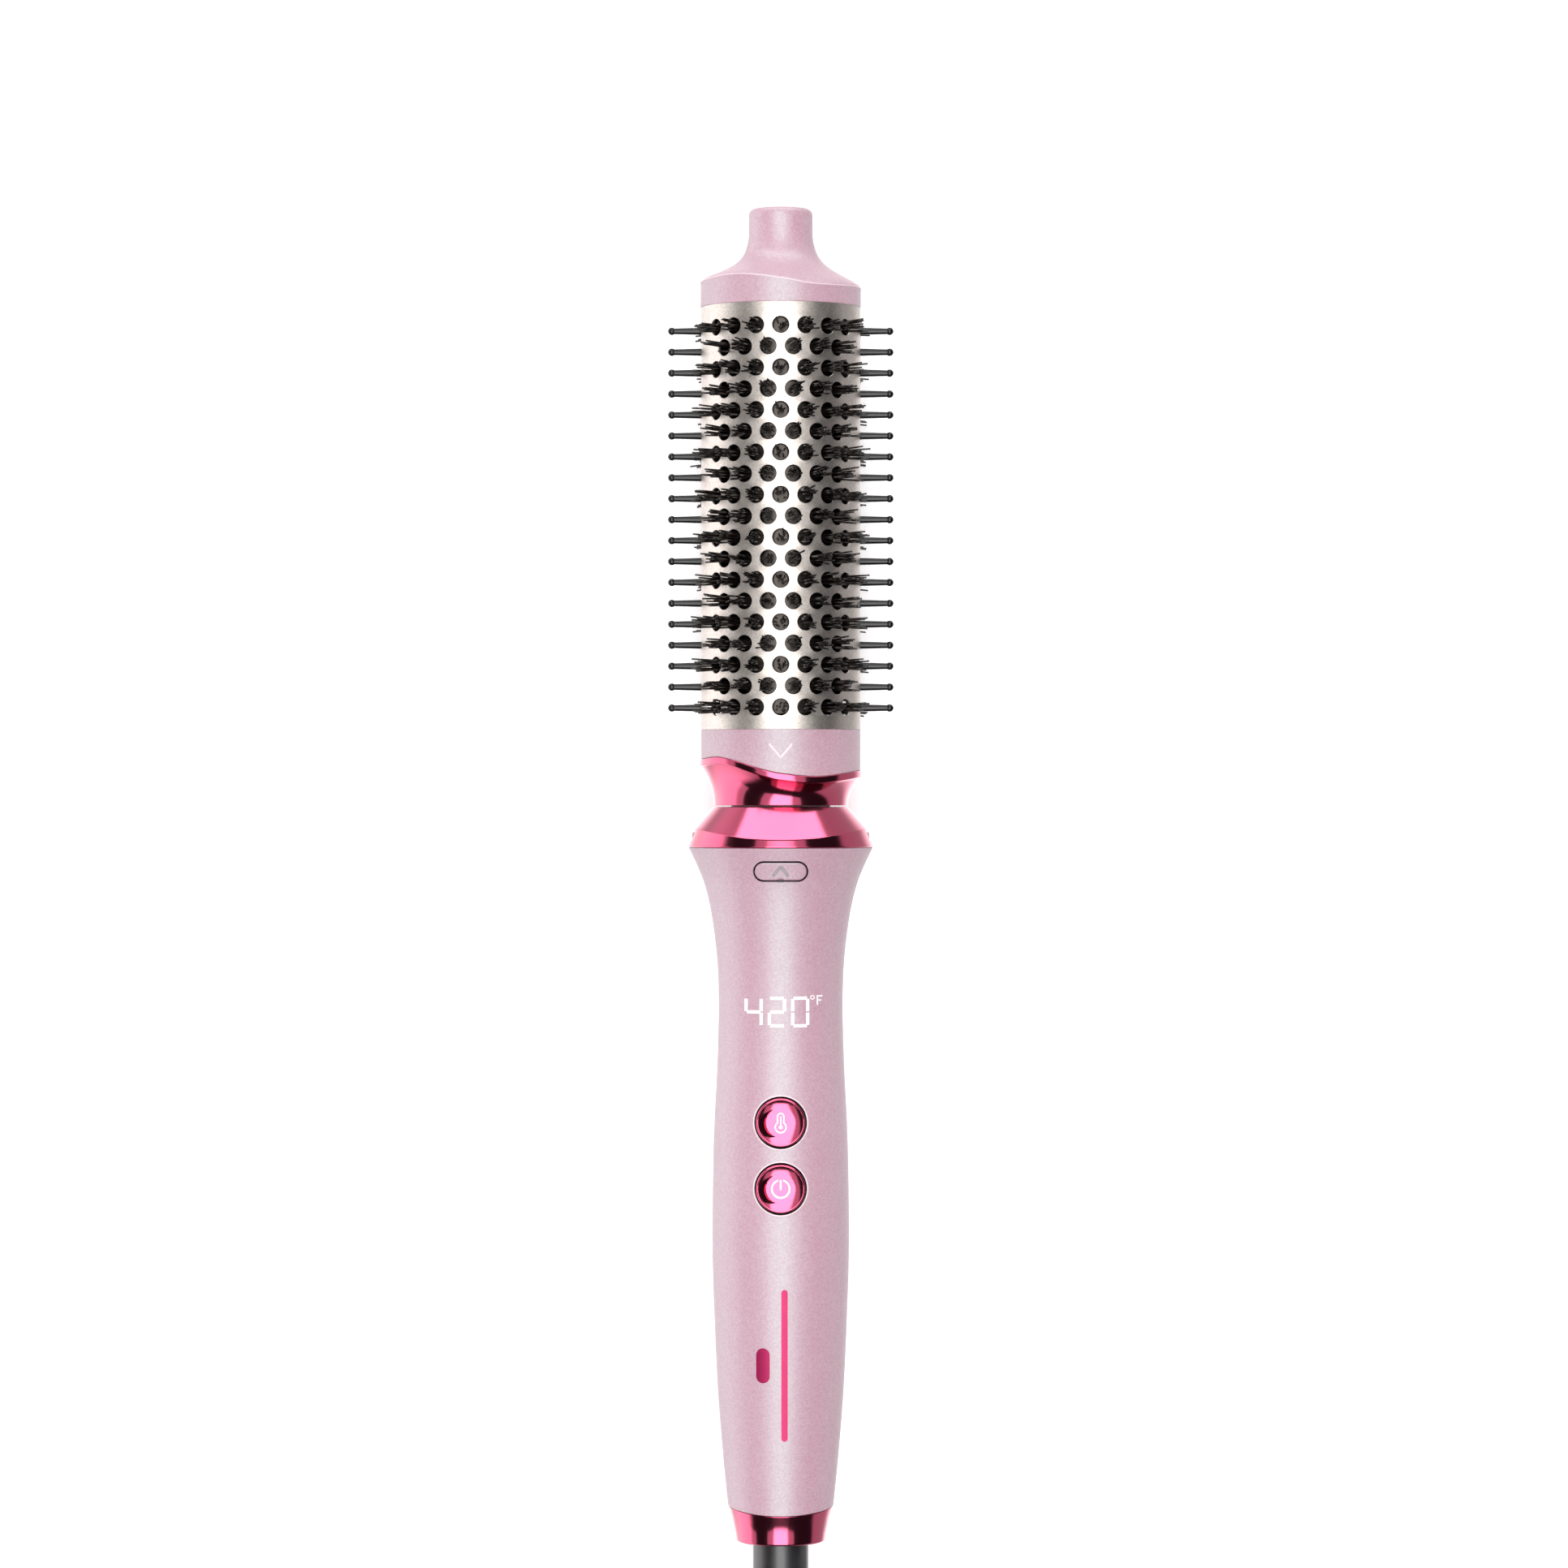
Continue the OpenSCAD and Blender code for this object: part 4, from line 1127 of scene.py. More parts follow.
@dataclass
class Bristles:
    """Tufts of nylon filament that stand through the barrel's holes."""

    holes: Holes = field(default_factory=Holes)
    root: float = 16.6
    reach: tuple[float, float] = (22.6, 25.6)
    count: int = 13
    thickness: float = 0.5
    root_spread: float = 1.05
    splay: float = 0.035
    stray: float = 0.06
    floor_gap: float = 0.25
    # Radii of a strand's tip and root, as shares of its thickness
    taper: tuple[float, float] = (0.42, 0.5)
    strand_sides: int = 5
    # Seeds of the strays and of the lengths
    seeds: tuple[int, int] = (11, 23)

    def tree(self) -> bpy.types.NodeTree:
        """Builds the tree that grows a splayed tuft on every point.

        Returns:
            The tree.
        """
        lengths = ("Root Spread", "Splay", "Stray", "Shortest", "Longest", "Thickness", "Lowest")
        tree, given = new_tree("tufts", {**dict.fromkeys(lengths, "Float"), "Count": "Int",
                                         "Seed": "Int", "Material": "Material"})
        many = add_node(tree, "GeometryNodeDuplicateElements", {"domain": "POINT"},
                        {"Geometry": given["Geometry"], "Amount": given["Count"]})
        lean = add_node(tree, "FunctionNodeRandomValue", {"data_type": "FLOAT_VECTOR"},
                        {"Min": (-1, -1, -1), "Max": (1, 1, 1), "Seed": given["Seed"]})
        odd = add_node(tree, "FunctionNodeRandomValue", {"data_type": "FLOAT_VECTOR"},
                       {"Min": (-1, -1, -1), "Max": (1, 1, 1), "Seed": self.seeds[0]})
        length = add_node(tree, "FunctionNodeRandomValue", {"data_type": "FLOAT"},
                          {2: given["Shortest"], 3: given["Longest"], "Seed": self.seeds[1]})
        out = add_node(tree, "GeometryNodeInputNamedAttribute", {"data_type": "FLOAT_VECTOR"},
                       {"Name": "outward"})
        # The part of the lean that lies in the barrel's face
        along = add_node(tree, "ShaderNodeVectorMath", {"operation": "PROJECT"},
                         {0: lean, 1: out})
        flat = add_node(tree, "ShaderNodeVectorMath", {"operation": "SUBTRACT"},
                        {0: lean, 1: along})
        shift = add_node(tree, "ShaderNodeVectorMath", {"operation": "SCALE"},
                         {0: flat, "Scale": given["Root Spread"]})
        moved = add_node(tree, "GeometryNodeSetPosition", None,
                         {"Geometry": many, "Offset": shift})
        fan = add_node(tree, "ShaderNodeVectorMath", {"operation": "SCALE"},
                       {0: flat, "Scale": given["Splay"]})
        wild = add_node(tree, "ShaderNodeVectorMath", {"operation": "SCALE"},
                        {0: odd, "Scale": given["Stray"]})
        both = add_node(tree, "ShaderNodeVectorMath", {"operation": "ADD"},
                        {0: fan, 1: wild})
        way = add_node(tree, "ShaderNodeVectorMath", {"operation": "ADD"},
                       {0: both, 1: out})
        aim = add_node(tree, "FunctionNodeAlignRotationToVector", {"axis": "Z"},
                       {"Vector": way})
        strand = add_node(tree, "GeometryNodeMeshCone", {"fill_type": "NGON"}, {
            "Vertices": self.strand_sides, "Side Segments": 3, "Radius Top": self.taper[0],
            "Radius Bottom": self.taper[1], "Depth": 1.0})
        size = add_node(tree, "ShaderNodeCombineXYZ", None, {
            "X": given["Thickness"], "Y": given["Thickness"], "Z": length.outputs[1]})
        hairs = add_node(tree, "GeometryNodeInstanceOnPoints", None, {
            "Points": moved, "Instance": strand.outputs["Mesh"],
            "Rotation": aim, "Scale": size})
        real = add_node(tree, "GeometryNodeRealizeInstances", None, {0: hairs})
        where = add_node(tree, "ShaderNodeSeparateXYZ", None,
                         {0: add_node(tree, "GeometryNodeInputPosition")})
        lowest = add_node(tree, "ShaderNodeMath", {"operation": "MAXIMUM"},
                          {0: where.outputs["Z"], 1: given["Lowest"]})
        level = add_node(tree, "ShaderNodeCombineXYZ", None, {
            0: where.outputs["X"], 1: where.outputs["Y"], 2: lowest})
        laid = add_node(tree, "GeometryNodeSetPosition", None,
                        {"Geometry": real, "Position": level})
        soft = add_node(tree, "GeometryNodeSetShadeSmooth", None,
                        {"Geometry": laid, "Shade Smooth": True})
        return end_tree(tree, soft, given)

    def build(self) -> None:
        """Grows the front and the rear bank."""
        tree = self.tree()
        rows = (("front_bristles", 0.0, 3, ("front_tufts",)),
                ("rear_bristles", 180.0, 7, ("rear_tufts", "resting_tufts")))
        for name, centre, seed, nodes in rows:
            places = self.holes.bank(centre)
            data = bpy.data.meshes.new(name)
            data.from_pydata([spot(angle, at, self.root) for angle, at in places], [], [])
            outward = [spot(angle, 0, 1) - spot(angle, 0, 0) for angle, _ in places]
            data.attributes.new("outward", "FLOAT_VECTOR", "POINT").data.foreach_set(
                "vector", np.array([v.normalized() for v in outward], float).ravel())
            piece = linked(name, data)
            grown(piece, tree, {
                "Root Spread": self.root_spread * MM, "Splay": self.splay, "Stray": self.stray,
                "Shortest": (self.reach[0] - self.root) * MM,
                "Longest": (self.reach[1] - self.root) * MM,
                "Thickness": self.thickness * MM, "Lowest": self.floor_gap * MM,
                "Count": self.count, "Seed": seed, "Material": BRISTLE.material()})
            settle(piece, "brush_head", BRISTLE, *nodes)


@dataclass
class SidePins:
    """Two rails of ball-tipped pins that lift the hair off the barrel."""

    holes: Holes = field(default_factory=Holes)
    half: float = 5.5
    rail: tuple[float, float] = (15.7, 17.1)
    ends: tuple[float, float] = (27.5, 121.2)
    root: float = 16.6
    ball_at: float = 26.02
    ball_r: float = 0.93
    # Radii of the shaft's foot and neck, and the share of the length where the ball takes over
    shaft: tuple[float, float] = (0.93, 0.7)
    shaft_share: float = 0.985
    # Angles of the ball's rings from its underside
    ball_rings: tuple[int, ...] = (52, 75, 98, 121, 144, 165, 180)
    pin_sides: int = 14

    def pin(self) -> bpy.types.Object:
        """Builds one pin that stands on +Z.

        Returns:
            The pin, which is removed once it is copied.
        """
        length = self.ball_at - self.root
        profile = [(0.0, 0.0)] + [(self.shaft[0] + (self.shaft[1] - self.shaft[0]) * k / 3,
                                   length * self.shaft_share * k / 3) for k in range(4)]
        profile += [(self.ball_r * math.sin(math.radians(t)),
                     length - self.ball_r * math.cos(math.radians(t)))
                    for t in self.ball_rings]
        mesh = bmesh.new()
        turns = [2 * math.pi * k / self.pin_sides for k in range(self.pin_sides)]
        rings = [[mesh.verts.new((r * math.cos(t) * MM, r * math.sin(t) * MM, z * MM))
                  for t in turns] for r, z in profile]
        for low, high in zip(rings, rings[1:]):
            for k in range(len(turns)):
                after = (k + 1) % len(turns)
                mesh.faces.new((low[k], low[after], high[after], high[k]))
        return finish_mesh("side_pin", mesh)

    def tree(self) -> bpy.types.NodeTree:
        """Builds the tree that stands a pin on every loose point and keeps the rail.

        Returns:
            The tree.
        """
        tree, given = new_tree("pins_on_rail", {
            "Pin": "Object", "Rail": "Object", "Way": "Vector", "Material": "Material"})
        pin = add_node(tree, "GeometryNodeObjectInfo", None, {"Object": given["Pin"]})
        rail = add_node(tree, "GeometryNodeObjectInfo", None, {"Object": given["Rail"]})
        aim = add_node(tree, "FunctionNodeAlignRotationToVector", {"axis": "Z"},
                       {"Vector": given["Way"]})
        pins = add_node(tree, "GeometryNodeInstanceOnPoints", None, {
            "Points": given["Geometry"], "Instance": pin.outputs["Geometry"],
            "Rotation": aim})
        joined = add_node(tree, "GeometryNodeJoinGeometry", None, {0: pins})
        tree.links.new(rail.outputs["Geometry"], joined.inputs[0])
        real = add_node(tree, "GeometryNodeRealizeInstances", None, {0: joined})
        return end_tree(tree, real, given)

    def build(self) -> None:
        """Builds both rails with their pins."""
        tree = self.tree()
        pin = self.pin()
        low, high = self.rail
        ends = self.ends
        profile = [(high, ends[0]), (high, ends[1]), (low, ends[1]), (low, ends[0])]
        for side, angle in zip(("right", "left"), self.holes.pins):
            rail = turned(f"rail_{side}", lambda _: profile,
                          arc=(angle - self.half, angle + self.half))
            data = bpy.data.meshes.new(f"{side}_side_pins")
            places = [spot(angle, self.holes.along(row), self.root)
                      for row in range(self.holes.rows)]
            data.from_pydata(places, [], [])
            piece = linked(data.name, data)
            way = spot(angle, 0, 1) - spot(angle, 0, 0)
            grown(piece, tree, {"Pin": pin, "Rail": rail, "Way": way.normalized(),
                                "Material": PIN.material()})
            bpy.data.objects.remove(rail)
            settle(piece, "brush_head", PIN, f"{side}_pin_rail")
        bpy.data.objects.remove(pin)


@dataclass
class HeadJoint:
    """The pink collar with its arrow head and the plated ring under the wavy edge."""

    collar_r: float = 19.0
    top: float = 124.9
    ring_end: float = 142.9
    lip_r: float = 19.4
    lip: float = 1.55
    groove_r: float = 0.42
    groove_lift: float = 0.1
    # The engraved arrow head, as (place across, distance from the tip)
    arrow: tuple[tuple[float, float], ...] = ((-2.75, 128.35), (0.0, 131.55), (2.75, 128.35))
    # Gap to the collar, depth of the lip's undercut, radii of the flare and how it runs out
    gap: float = 0.05
    tuck: float = 0.12
    flare: tuple[float, float] = (16.0, 19.0)
    run_out: float = 2.1
    flare_parts: int = 12

    def wave(self, angle: float, radius: float) -> float:
        """Gives where the wavy edge runs at an angle."""
        return WAVE.height(radius * math.sin(math.radians(angle)))

    def collar_section(self, angle: float) -> Profile:
        """Gives the collar's outline, with its lower edge on the wave.

        Args:
            angle: degrees from the front.

        Returns:
            The outline from the top edge round to the hollow.
        """
        edge = self.wave(angle, self.collar_r)
        return [(self.collar_r, self.top, 0.2), (self.collar_r, edge, 0.2),
                (15.6, edge), (15.6, 126.2), (17.9, 125.9), (17.9, 122.0), (16.4, 122.0),
                (16.4, 124.2), (17.0, self.top)]

    def ring_section(self, angle: float) -> Profile:
        """Gives the plated ring's outline at an angle.

        Args:
            angle: degrees from the front.

        Returns:
            The outline, from the lip round to the bore.
        """
        edge = self.wave(angle, self.lip_r) + self.gap
        low = edge + self.lip
        span = self.ring_end - low
        small, large = self.flare
        flare = []
        for k in range(self.flare_parts + 1):
            t = k / self.flare_parts
            # Steep under the lip, then it runs out nearly straight
            flare.append((small + (large - small) * (1 - t) ** self.run_out,
                          low + self.tuck + (span - self.tuck) * t))
        return [(18.9, edge), (self.lip_r, edge, 0.25), (self.lip_r, low, 0.3), *flare[:-1],
                (*flare[-1], 0.15), (15.0, self.ring_end), (15.0, edge + 1.5), (15.4, edge)]

    def build(self) -> None:
        """Builds the collar and the ring."""
        collar = turned("collar_shell", self.collar_section)
        PEARL.dress(collar)
        path = [over_axis(x, at, math.sqrt(self.collar_r ** 2 - x * x) + self.groove_lift)
                for x, at in stepped(self.arrow, 8)]
        groove = tube_along("groove", path, self.groove_r, closed=False)
        # The groove's walls take this pale pink from the cutter: a painted highlight in the
        # engraving
        GROOVE_HIGHLIGHT.dress(groove)
        carve(collar, [groove])
        settle(collar, "brush_head", PEARL, "barrel_collar")
        settle(turned("wave_ring_shell", self.ring_section), "brush_head", PLATED, "wave_ring")


# ---------------------------------------------------------------------- handle

@dataclass
class LockCollar:
    """The plated collar that the head plugs into, with a curved crease and two windows."""

    start: float = 143.3
    rim_r: float = 22.3
    rim_at: float = 152.9
    window: tuple[float, float, float] = (4.7, 149.1, 151.6)
    window_reach: tuple[float, float] = (17.5, 25.0)
    # The crease at the sides as (radius, distance from the tip), and what it gains at the front
    crease: tuple[float, float] = (20.55, 148.3)
    crease_gain: tuple[float, float] = (1.2, 2.75)

    def section(self, angle: float) -> Profile:
        """Gives the collar's outline at an angle; its crease dips to the rim front and back.

        Args:
            angle: degrees from the front.

        Returns:
            The outline from the top edge round to the bore.
        """
        share = math.cos(math.radians(angle)) ** 2
        crease_r, crease_at = (a + b * share for a, b in zip(self.crease, self.crease_gain))
        return [(16.1, self.start, 0.2), (crease_r, crease_at, 0.15),
                (self.rim_r, self.rim_at - 0.15, 0.2),
                (self.rim_r - 0.2, self.rim_at), (20.6, self.rim_at), (18.9, 149.4), (17, 147.4),
                (14.9, 146.4), (14.9, 145.5), (12.15, 145.5), (12.15, self.start)]

    def build(self) -> None:
        """Builds the collar and cuts its windows."""
        collar = turned("lock_collar_shell", self.section)
        PLATED.dress(collar)
        half, low, high = self.window
        cutters = []
        for side in (-1, 1):
            corners = [(low, -half), (low, half), (high, half), (high, -half)]
            ends = [[over_axis(side * x, at, z) for at, z in corners] for x in self.window_reach]
            cutter = loft("window", ends, ring=False, tube=True, cap=True)
            # The cutter's near-black passes to the window walls: painted shade in the windows
            DARK.dress(cutter)
            cutters.append(cutter)
        carve(collar, cutters)
        settle(collar, "handle", PLATED, "lock_collar")


@dataclass
class Buttons:
    """The release key and the two plated keys on the handle's face."""

    release_at: float = 158.45
    release_size: tuple[float, float] = (12.26, 4.16)
    keys: tuple[float, float] = (217.8, 233.4)
    key_r: float = 5.8
    dish_edge: float = 5.4
    disc_r: float = 3.45
    disc_deep: float = 0.88
    disc_tilt: float = 0.02
    disc_bowl: float = 0.013
    rim_deep: float = 0.12
    swirl: float = 0.5
    notch: tuple[float, float] = (1.25, 0.5)
    face_lift: float = 0.1
    edge_drop: float = 0.3
    # Straight and curved share of the slope between the disc and the rim
    slope: tuple[float, float] = (0.6, 0.4)
    # Angles at which the swirl begins, is full, begins to fade and ends; its width; its steepness
    swell: tuple[float, float, float, float] = (105, 190, 215, 258)
    swell_wide: float = 1.4
    swell_rise: float = 0.12
    # The release key: drop under the grip's face, foot, and the mark engraved in it
    release_drop: float = 0.06
    release_foot: float = 15.3
    mark: tuple[tuple[float, float], ...] = ((-1.8, -1.15), (0.0, 1.15), (1.8, -1.15))
    mark_r: float = 0.36
    mark_drop: float = 0.03
    key_foot: float = 10.5
    # Share of the outline and drop of each ring of the release key's face
    release_rings: tuple[tuple[float, float], ...] = (
        (0.02, 0.0), (0.25, 0.0), (0.5, 0.0), (0.7, 0.0), (0.85, 0.0), (0.93, 0.02),
        (0.97, 0.06), (0.99, 0.13), (1.0, 0.25))
    # Radii of the rings of a plated key's face
    key_rings: tuple[float, ...] = (
        0.02, 0.8, 1.6, 2.4, 3.0, 3.3, 3.45, 3.52, 3.6, 3.72, 3.9, 4.1, 4.35, 4.6, 4.85,
        5.1, 5.3, 5.4, 5.48, 5.58, 5.68, 5.75, 5.8)

    def dish(self, at: float, x: float, y: float) -> float:
        """Gives the height of a plated key's face.

        Args:
            at: the key's distance from the tip.
            x: place across from its centre.
            y: place towards the tip from its centre.

        Returns:
            The height over the axis.
        """
        top = GRIP.height(at) + self.face_lift
        radius = math.hypot(x, y)
        if radius >= self.dish_edge:
            rise = (radius - self.dish_edge) / (self.key_r - self.dish_edge)
            return top - self.rim_deep - self.edge_drop * rise ** 2
        inside = min(1.0, self.disc_r / max(radius, 0.01))
        rise = max(0.0, (radius - self.disc_r) / (self.dish_edge - self.disc_r))
        deep = (self.disc_deep + self.disc_tilt * y * inside
                - self.disc_bowl * min(radius, self.disc_r) ** 2)
        straight, curved = self.slope
        height = top - deep + (deep - self.rim_deep) * (straight * rise + curved * rise ** 2)
        turn = math.degrees(math.atan2(y, x)) % 360
        begin, full, fade, end = self.swell
        swell = smooth_share(turn, begin, full) * (1 - smooth_share(turn, fade, end))
        outer = self.disc_r + self.swell_wide * swell
        if swell > 0 and self.disc_r < radius < outer:
            share = (radius - self.disc_r) / (outer - self.disc_r)
            height -= self.swirl * swell * smooth_share(share, 0, self.swell_rise) * (1 - share)
        return height

    def build(self) -> None:
        """Builds the three keys."""
        release = outline_block(
            "release_key", stadium(*self.release_size), self.release_at,
            lambda x, y: grip_height(x, self.release_at - y) - self.release_drop,
            lambda x, y: self.release_foot, self.release_rings)
        PEARL.dress(release)
        # The release key's upright walls are painted near-black: painted shade in the gap round it
        side_finish(release, KEY_GAP_SHADE)
        path = [over_axis(x, self.release_at - y,
                          grip_height(x, self.release_at - y) - self.mark_drop)
                for x, y in stepped(self.mark, 6)]
        groove = tube_along("groove", path, self.mark_r, closed=False)
        ENGRAVED_GREY.dress(groove)
        carve(release, [groove])
        wide, deep = self.notch
        # A dark tab that overlaps the key's edge and stands for the notch in the shell: painted
        # shade in the notch
        overlap, tab_foot, tab_drop = 0.1, 17.0, 0.1
        edge = -self.release_size[1] / 2 + overlap
        corners = [(-wide / 2, edge), (wide / 2, edge), (wide / 2, edge - deep),
                   (-wide / 2, edge - deep)]
        tab = loft("notch_tab", [[over_axis(x, self.release_at - y, z) for x, y in corners]
                                 for z in (tab_foot, grip_height(0, self.release_at) - tab_drop)],
                   ring=False, tube=True, cap=True)
        KEY_GAP_SHADE.dress(tab)
        release = merged("release_key", [release, tab])
        settle(release, "release", PEARL, "release_button")
        for name, body, at in zip(("temperature", "power"), ("temperature_key", "power_key"),
                                  self.keys):
            key = outline_block(f"{name}_key_cap", circle(self.key_r), at,
                                lambda x, y, at=at: self.dish(at, x, y),
                                lambda x, y: self.key_foot,
                                [(r / self.key_r, 0.0) for r in self.key_rings])
            PLATED.dress(key)
            # The key's upright walls are painted near-black: painted shade in the gap round it
            side_finish(key, KEY_GAP_SHADE)
            settle(key, body, PLATED, f"{name}_button")
            LIT.dress(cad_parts[f"{name}_icon"])


@dataclass
class Shells:
    """The two grip shells, with their wells and the printed mark."""

    start: float = 153.0
    end: float = 310.4
    wall: float = 2.2
    seam: float = 0.04
    well_r: float = 6.24
    slot: tuple[float, float] = (13.0, 4.9)
    rim_r: float = 0.2
    # Name, place across, width and length of each printed stripe
    prints: tuple[tuple[str, float, float, float], ...] = (
        ("printed_bar", 0.9, 1.5, 36.0), ("printed_pill", -4.2, 3.2, 8.3))
    print_at: float = 275.2
    end_dip: tuple[float, float] = (310.1, 1.1)
    # Rounding of the upper and the lower edge, and how far the stations keep from them
    roundings: tuple[float, float] = (0.12, 0.2)
    margins: tuple[float, float] = (0.3, 2.0)
    end_taper: float = 0.1
    seam_r: float = 15.0
    well_reach: tuple[float, float] = (8.0, 30.0)
    lip_drop: float = 0.1
    lip_out: float = 0.12 / 6
    film_lift: float = 0.06
    film_sunk: float = 0.1

    def section(self, angle: float) -> Profile:
        """Gives the outline of the wall; its lower end dips front and back.

        Args:
            angle: degrees from the front.

        Returns:
            The outline, down the outside and up the inside.
        """
        low, dip = self.end_dip
        end = low + dip * math.cos(math.radians(angle)) ** 2
        outer = [(r, a) for r, a in GRIP.points(4)
                 if self.start + self.margins[0] < a < self.end - self.margins[1]]
        head = GRIP.height(self.start)
        tail = GRIP.height(self.end) - (end - self.end) * self.end_taper
        inner = [(r - self.wall, min(a, end)) for r, a in GRIP.points(1)]
        return [(head, self.start, self.roundings[0]), *outer, (tail, end, self.roundings[1]),
                *reversed(inner)]

    def rim(self, name: str, outline: Sequence[tuple[float, float]], at: float) -> bpy.types.Object:
        """Builds the rounded lip of a well, on the grip's face, in the paler finish of a painted
        highlight.

        Args:
            name: the lip's name.
            outline: the well's outline.
            at: its centre's distance from the tip.

        Returns:
            The lip.
        """
        line = [over_axis(x, at - y, grip_height(x, at - y) - self.lip_drop) for x, y in outline]
        lip = tube_along(name, line, self.rim_r, closed=True)
        # The lip's paler pink is a painted highlight
        PEARL_HIGHLIGHT.dress(lip)
        return lip

    def well(self, outline: Sequence[tuple[float, float]], at: float) -> bpy.types.Object:
        """Builds the cutter of a well through the shell; its near-black passes to the well's walls
        as painted shade.

        Args:
            outline: the well's outline.
            at: its centre's distance from the tip.

        Returns:
            The cutter.
        """
        ends = [[over_axis(x, at - y, z) for x, y in outline] for z in self.well_reach]
        cutter = loft("well", ends, ring=False, tube=True, cap=True)
        # The cutter's near-black passes to the well's walls: painted shade
        DARK.dress(cutter)
        return cutter

    def build(self) -> None:
        """Builds both shells, cuts the wells and lays the print."""
        keys = Buttons()
        gap = math.degrees(self.seam / self.seam_r)
        front = turned("front_grip_shell", self.section, arc=(gap - 90, 90 - gap))
        PEARL.dress(front)
        wells = [(stadium(*self.slot), keys.release_at)]
        wells += [(circle(self.well_r), at) for at in keys.keys]
        carve(front, [self.well(outline, at) for outline, at in wells])
        wider = 1 + self.lip_out
        lips = [self.rim(f"lip_{i}", [(x * wider, y * wider) for x, y in outline], at)
                for i, (outline, at) in enumerate(wells) if i > 0]
        front = merged("front_grip_shell", [front, *lips])
        settle(front, "handle", PEARL, "front_shell")
        rear = turned("rear_grip_shell", self.section, arc=(90 + gap, 270 - gap))
        settle(rear, "handle", PEARL, "rear_shell")
        for name, across, width, length in self.prints:
            settle(self.film(name, across, width, length), "handle", FOIL)

    def film(self, name: str, across: float, width: float, length: float) -> bpy.types.Object:
        """Lays a round-ended stripe of foil on the grip's face.

        Args:
            name: the stripe's name.
            across: its middle's place across.
            width: its width.
            length: its length along the handle.

        Returns:
            The stripe.
        """
        radius, parts, end_step, runs = width / 2, 6, 9.8, 25
        straight = length / 2 - radius
        ends = [straight + radius * math.sin(math.radians(end_step * k)) for k in range(1, 10)]
        places = [-y for y in reversed(ends)] + list(np.linspace(-straight, straight, runs)) + ends
        sections = []
        for y in places:
            half = math.sqrt(max(radius ** 2 - max(0.0, abs(y) - straight) ** 2, 1e-4))
            shares = [across + half * (2 * k / parts - 1) for k in range(parts + 1)]
            at = self.print_at - y
            row = [over_axis(x, at, grip_height(x, at) + self.film_lift) for x in shares]
            row += [over_axis(x, at, grip_height(x, at) - self.film_sunk)
                    for x in reversed(shares)]
            sections.append(row)
        return loft(name, sections, ring=False, tube=True, cap=True)


@dataclass
class Tail:
    """The plated end ring, the swivel stem and its ribbed sleeve."""

    ring_end: float = 318.5
    stem_r: float = 6.6
    stem_end: float = 331.3
    sleeve_end: float = 373.3
    sleeve_tip: float = 3.9
    ribs: int = 6
    # Start of the first groove behind the sleeve's start, pitch and width of the grooves
    groove: tuple[float, float, float] = (7.0, 5.6, 2.0)
    # How deep the last groove is, and how much less each one before it
    groove_deep: tuple[float, float] = (0.4, 0.35)
    shell_gap: float = 0.06

    def ring(self, angle: float) -> Profile:
        """Gives the end ring's outline; its upper edge follows the shells' end.

        Args:
            angle: degrees from the front.

        Returns:
            The outline from the upper edge round to the bore.
        """
        low, dip = Shells.end_dip
        start = low + self.shell_gap + dip * math.cos(math.radians(angle)) ** 2
        return [(12.5, start, 0.15), (11.85, start + 0.26 * (self.ring_end - start)),
                (11.35, 314.6), (10.95, 316.4), (10.62, self.ring_end, 0.45),
                (6.95, self.ring_end, 0.3), (6.95, 316.8), (9.15, 315.5), (9.15, 303.6),
                (9.9, 303.6), (9.9, start)]

    def stem(self, _: float) -> Profile:
        """Gives the swivel stem's outline, with its flange inside the housing."""
        return [(0, 283), (4, 283), (4, 293.4), (7.6, 293.4), (7.6, 296.8),
                (self.stem_r, 296.8), (self.stem_r, self.stem_end, 0.5), (0, self.stem_end)]

    def sleeve(self, _: float) -> Profile:
        """Gives the strain relief's outline, with a groove behind each rib.

        Returns:
            The outline, the same at every angle.
        """
        outer = Outline(((6.4, self.stem_end), (6.2, self.stem_end + 4),
                         (self.sleeve_tip, self.sleeve_end)))
        out: list[tuple[float, ...]] = [(0, self.stem_end), (6.4, self.stem_end, 0.4)]
        first, pitch, wide = self.groove
        for k in range(self.ribs):
            low = self.stem_end + first + pitch * k
            deep = self.sleeve_tip - self.groove_deep[0] + self.groove_deep[1] * (self.ribs - 1 - k)
            out += [(outer.height(low), low, 0.5), (deep, low + 0.15, 0.25),
                    (deep, low + 1.85, 0.25), (outer.height(low + wide), low + wide, 0.5)]
        return out + [(self.sleeve_tip, self.sleeve_end, 0.6), (0, self.sleeve_end)]

    def build(self) -> None:
        """Builds the three pieces."""
        settle(turned("end_ring_shell", self.ring), "handle", PLATED, "end_ring")
        settle(turned("stem_tube", self.stem, closed=False, steps=96), "swivel", STEM,
               "swivel_stem")
        settle(turned("strain_relief_sleeve", self.sleeve, closed=False, steps=64), "swivel", STEM,
               "strain_relief")


# ------------------------------------------------------------------------ cord

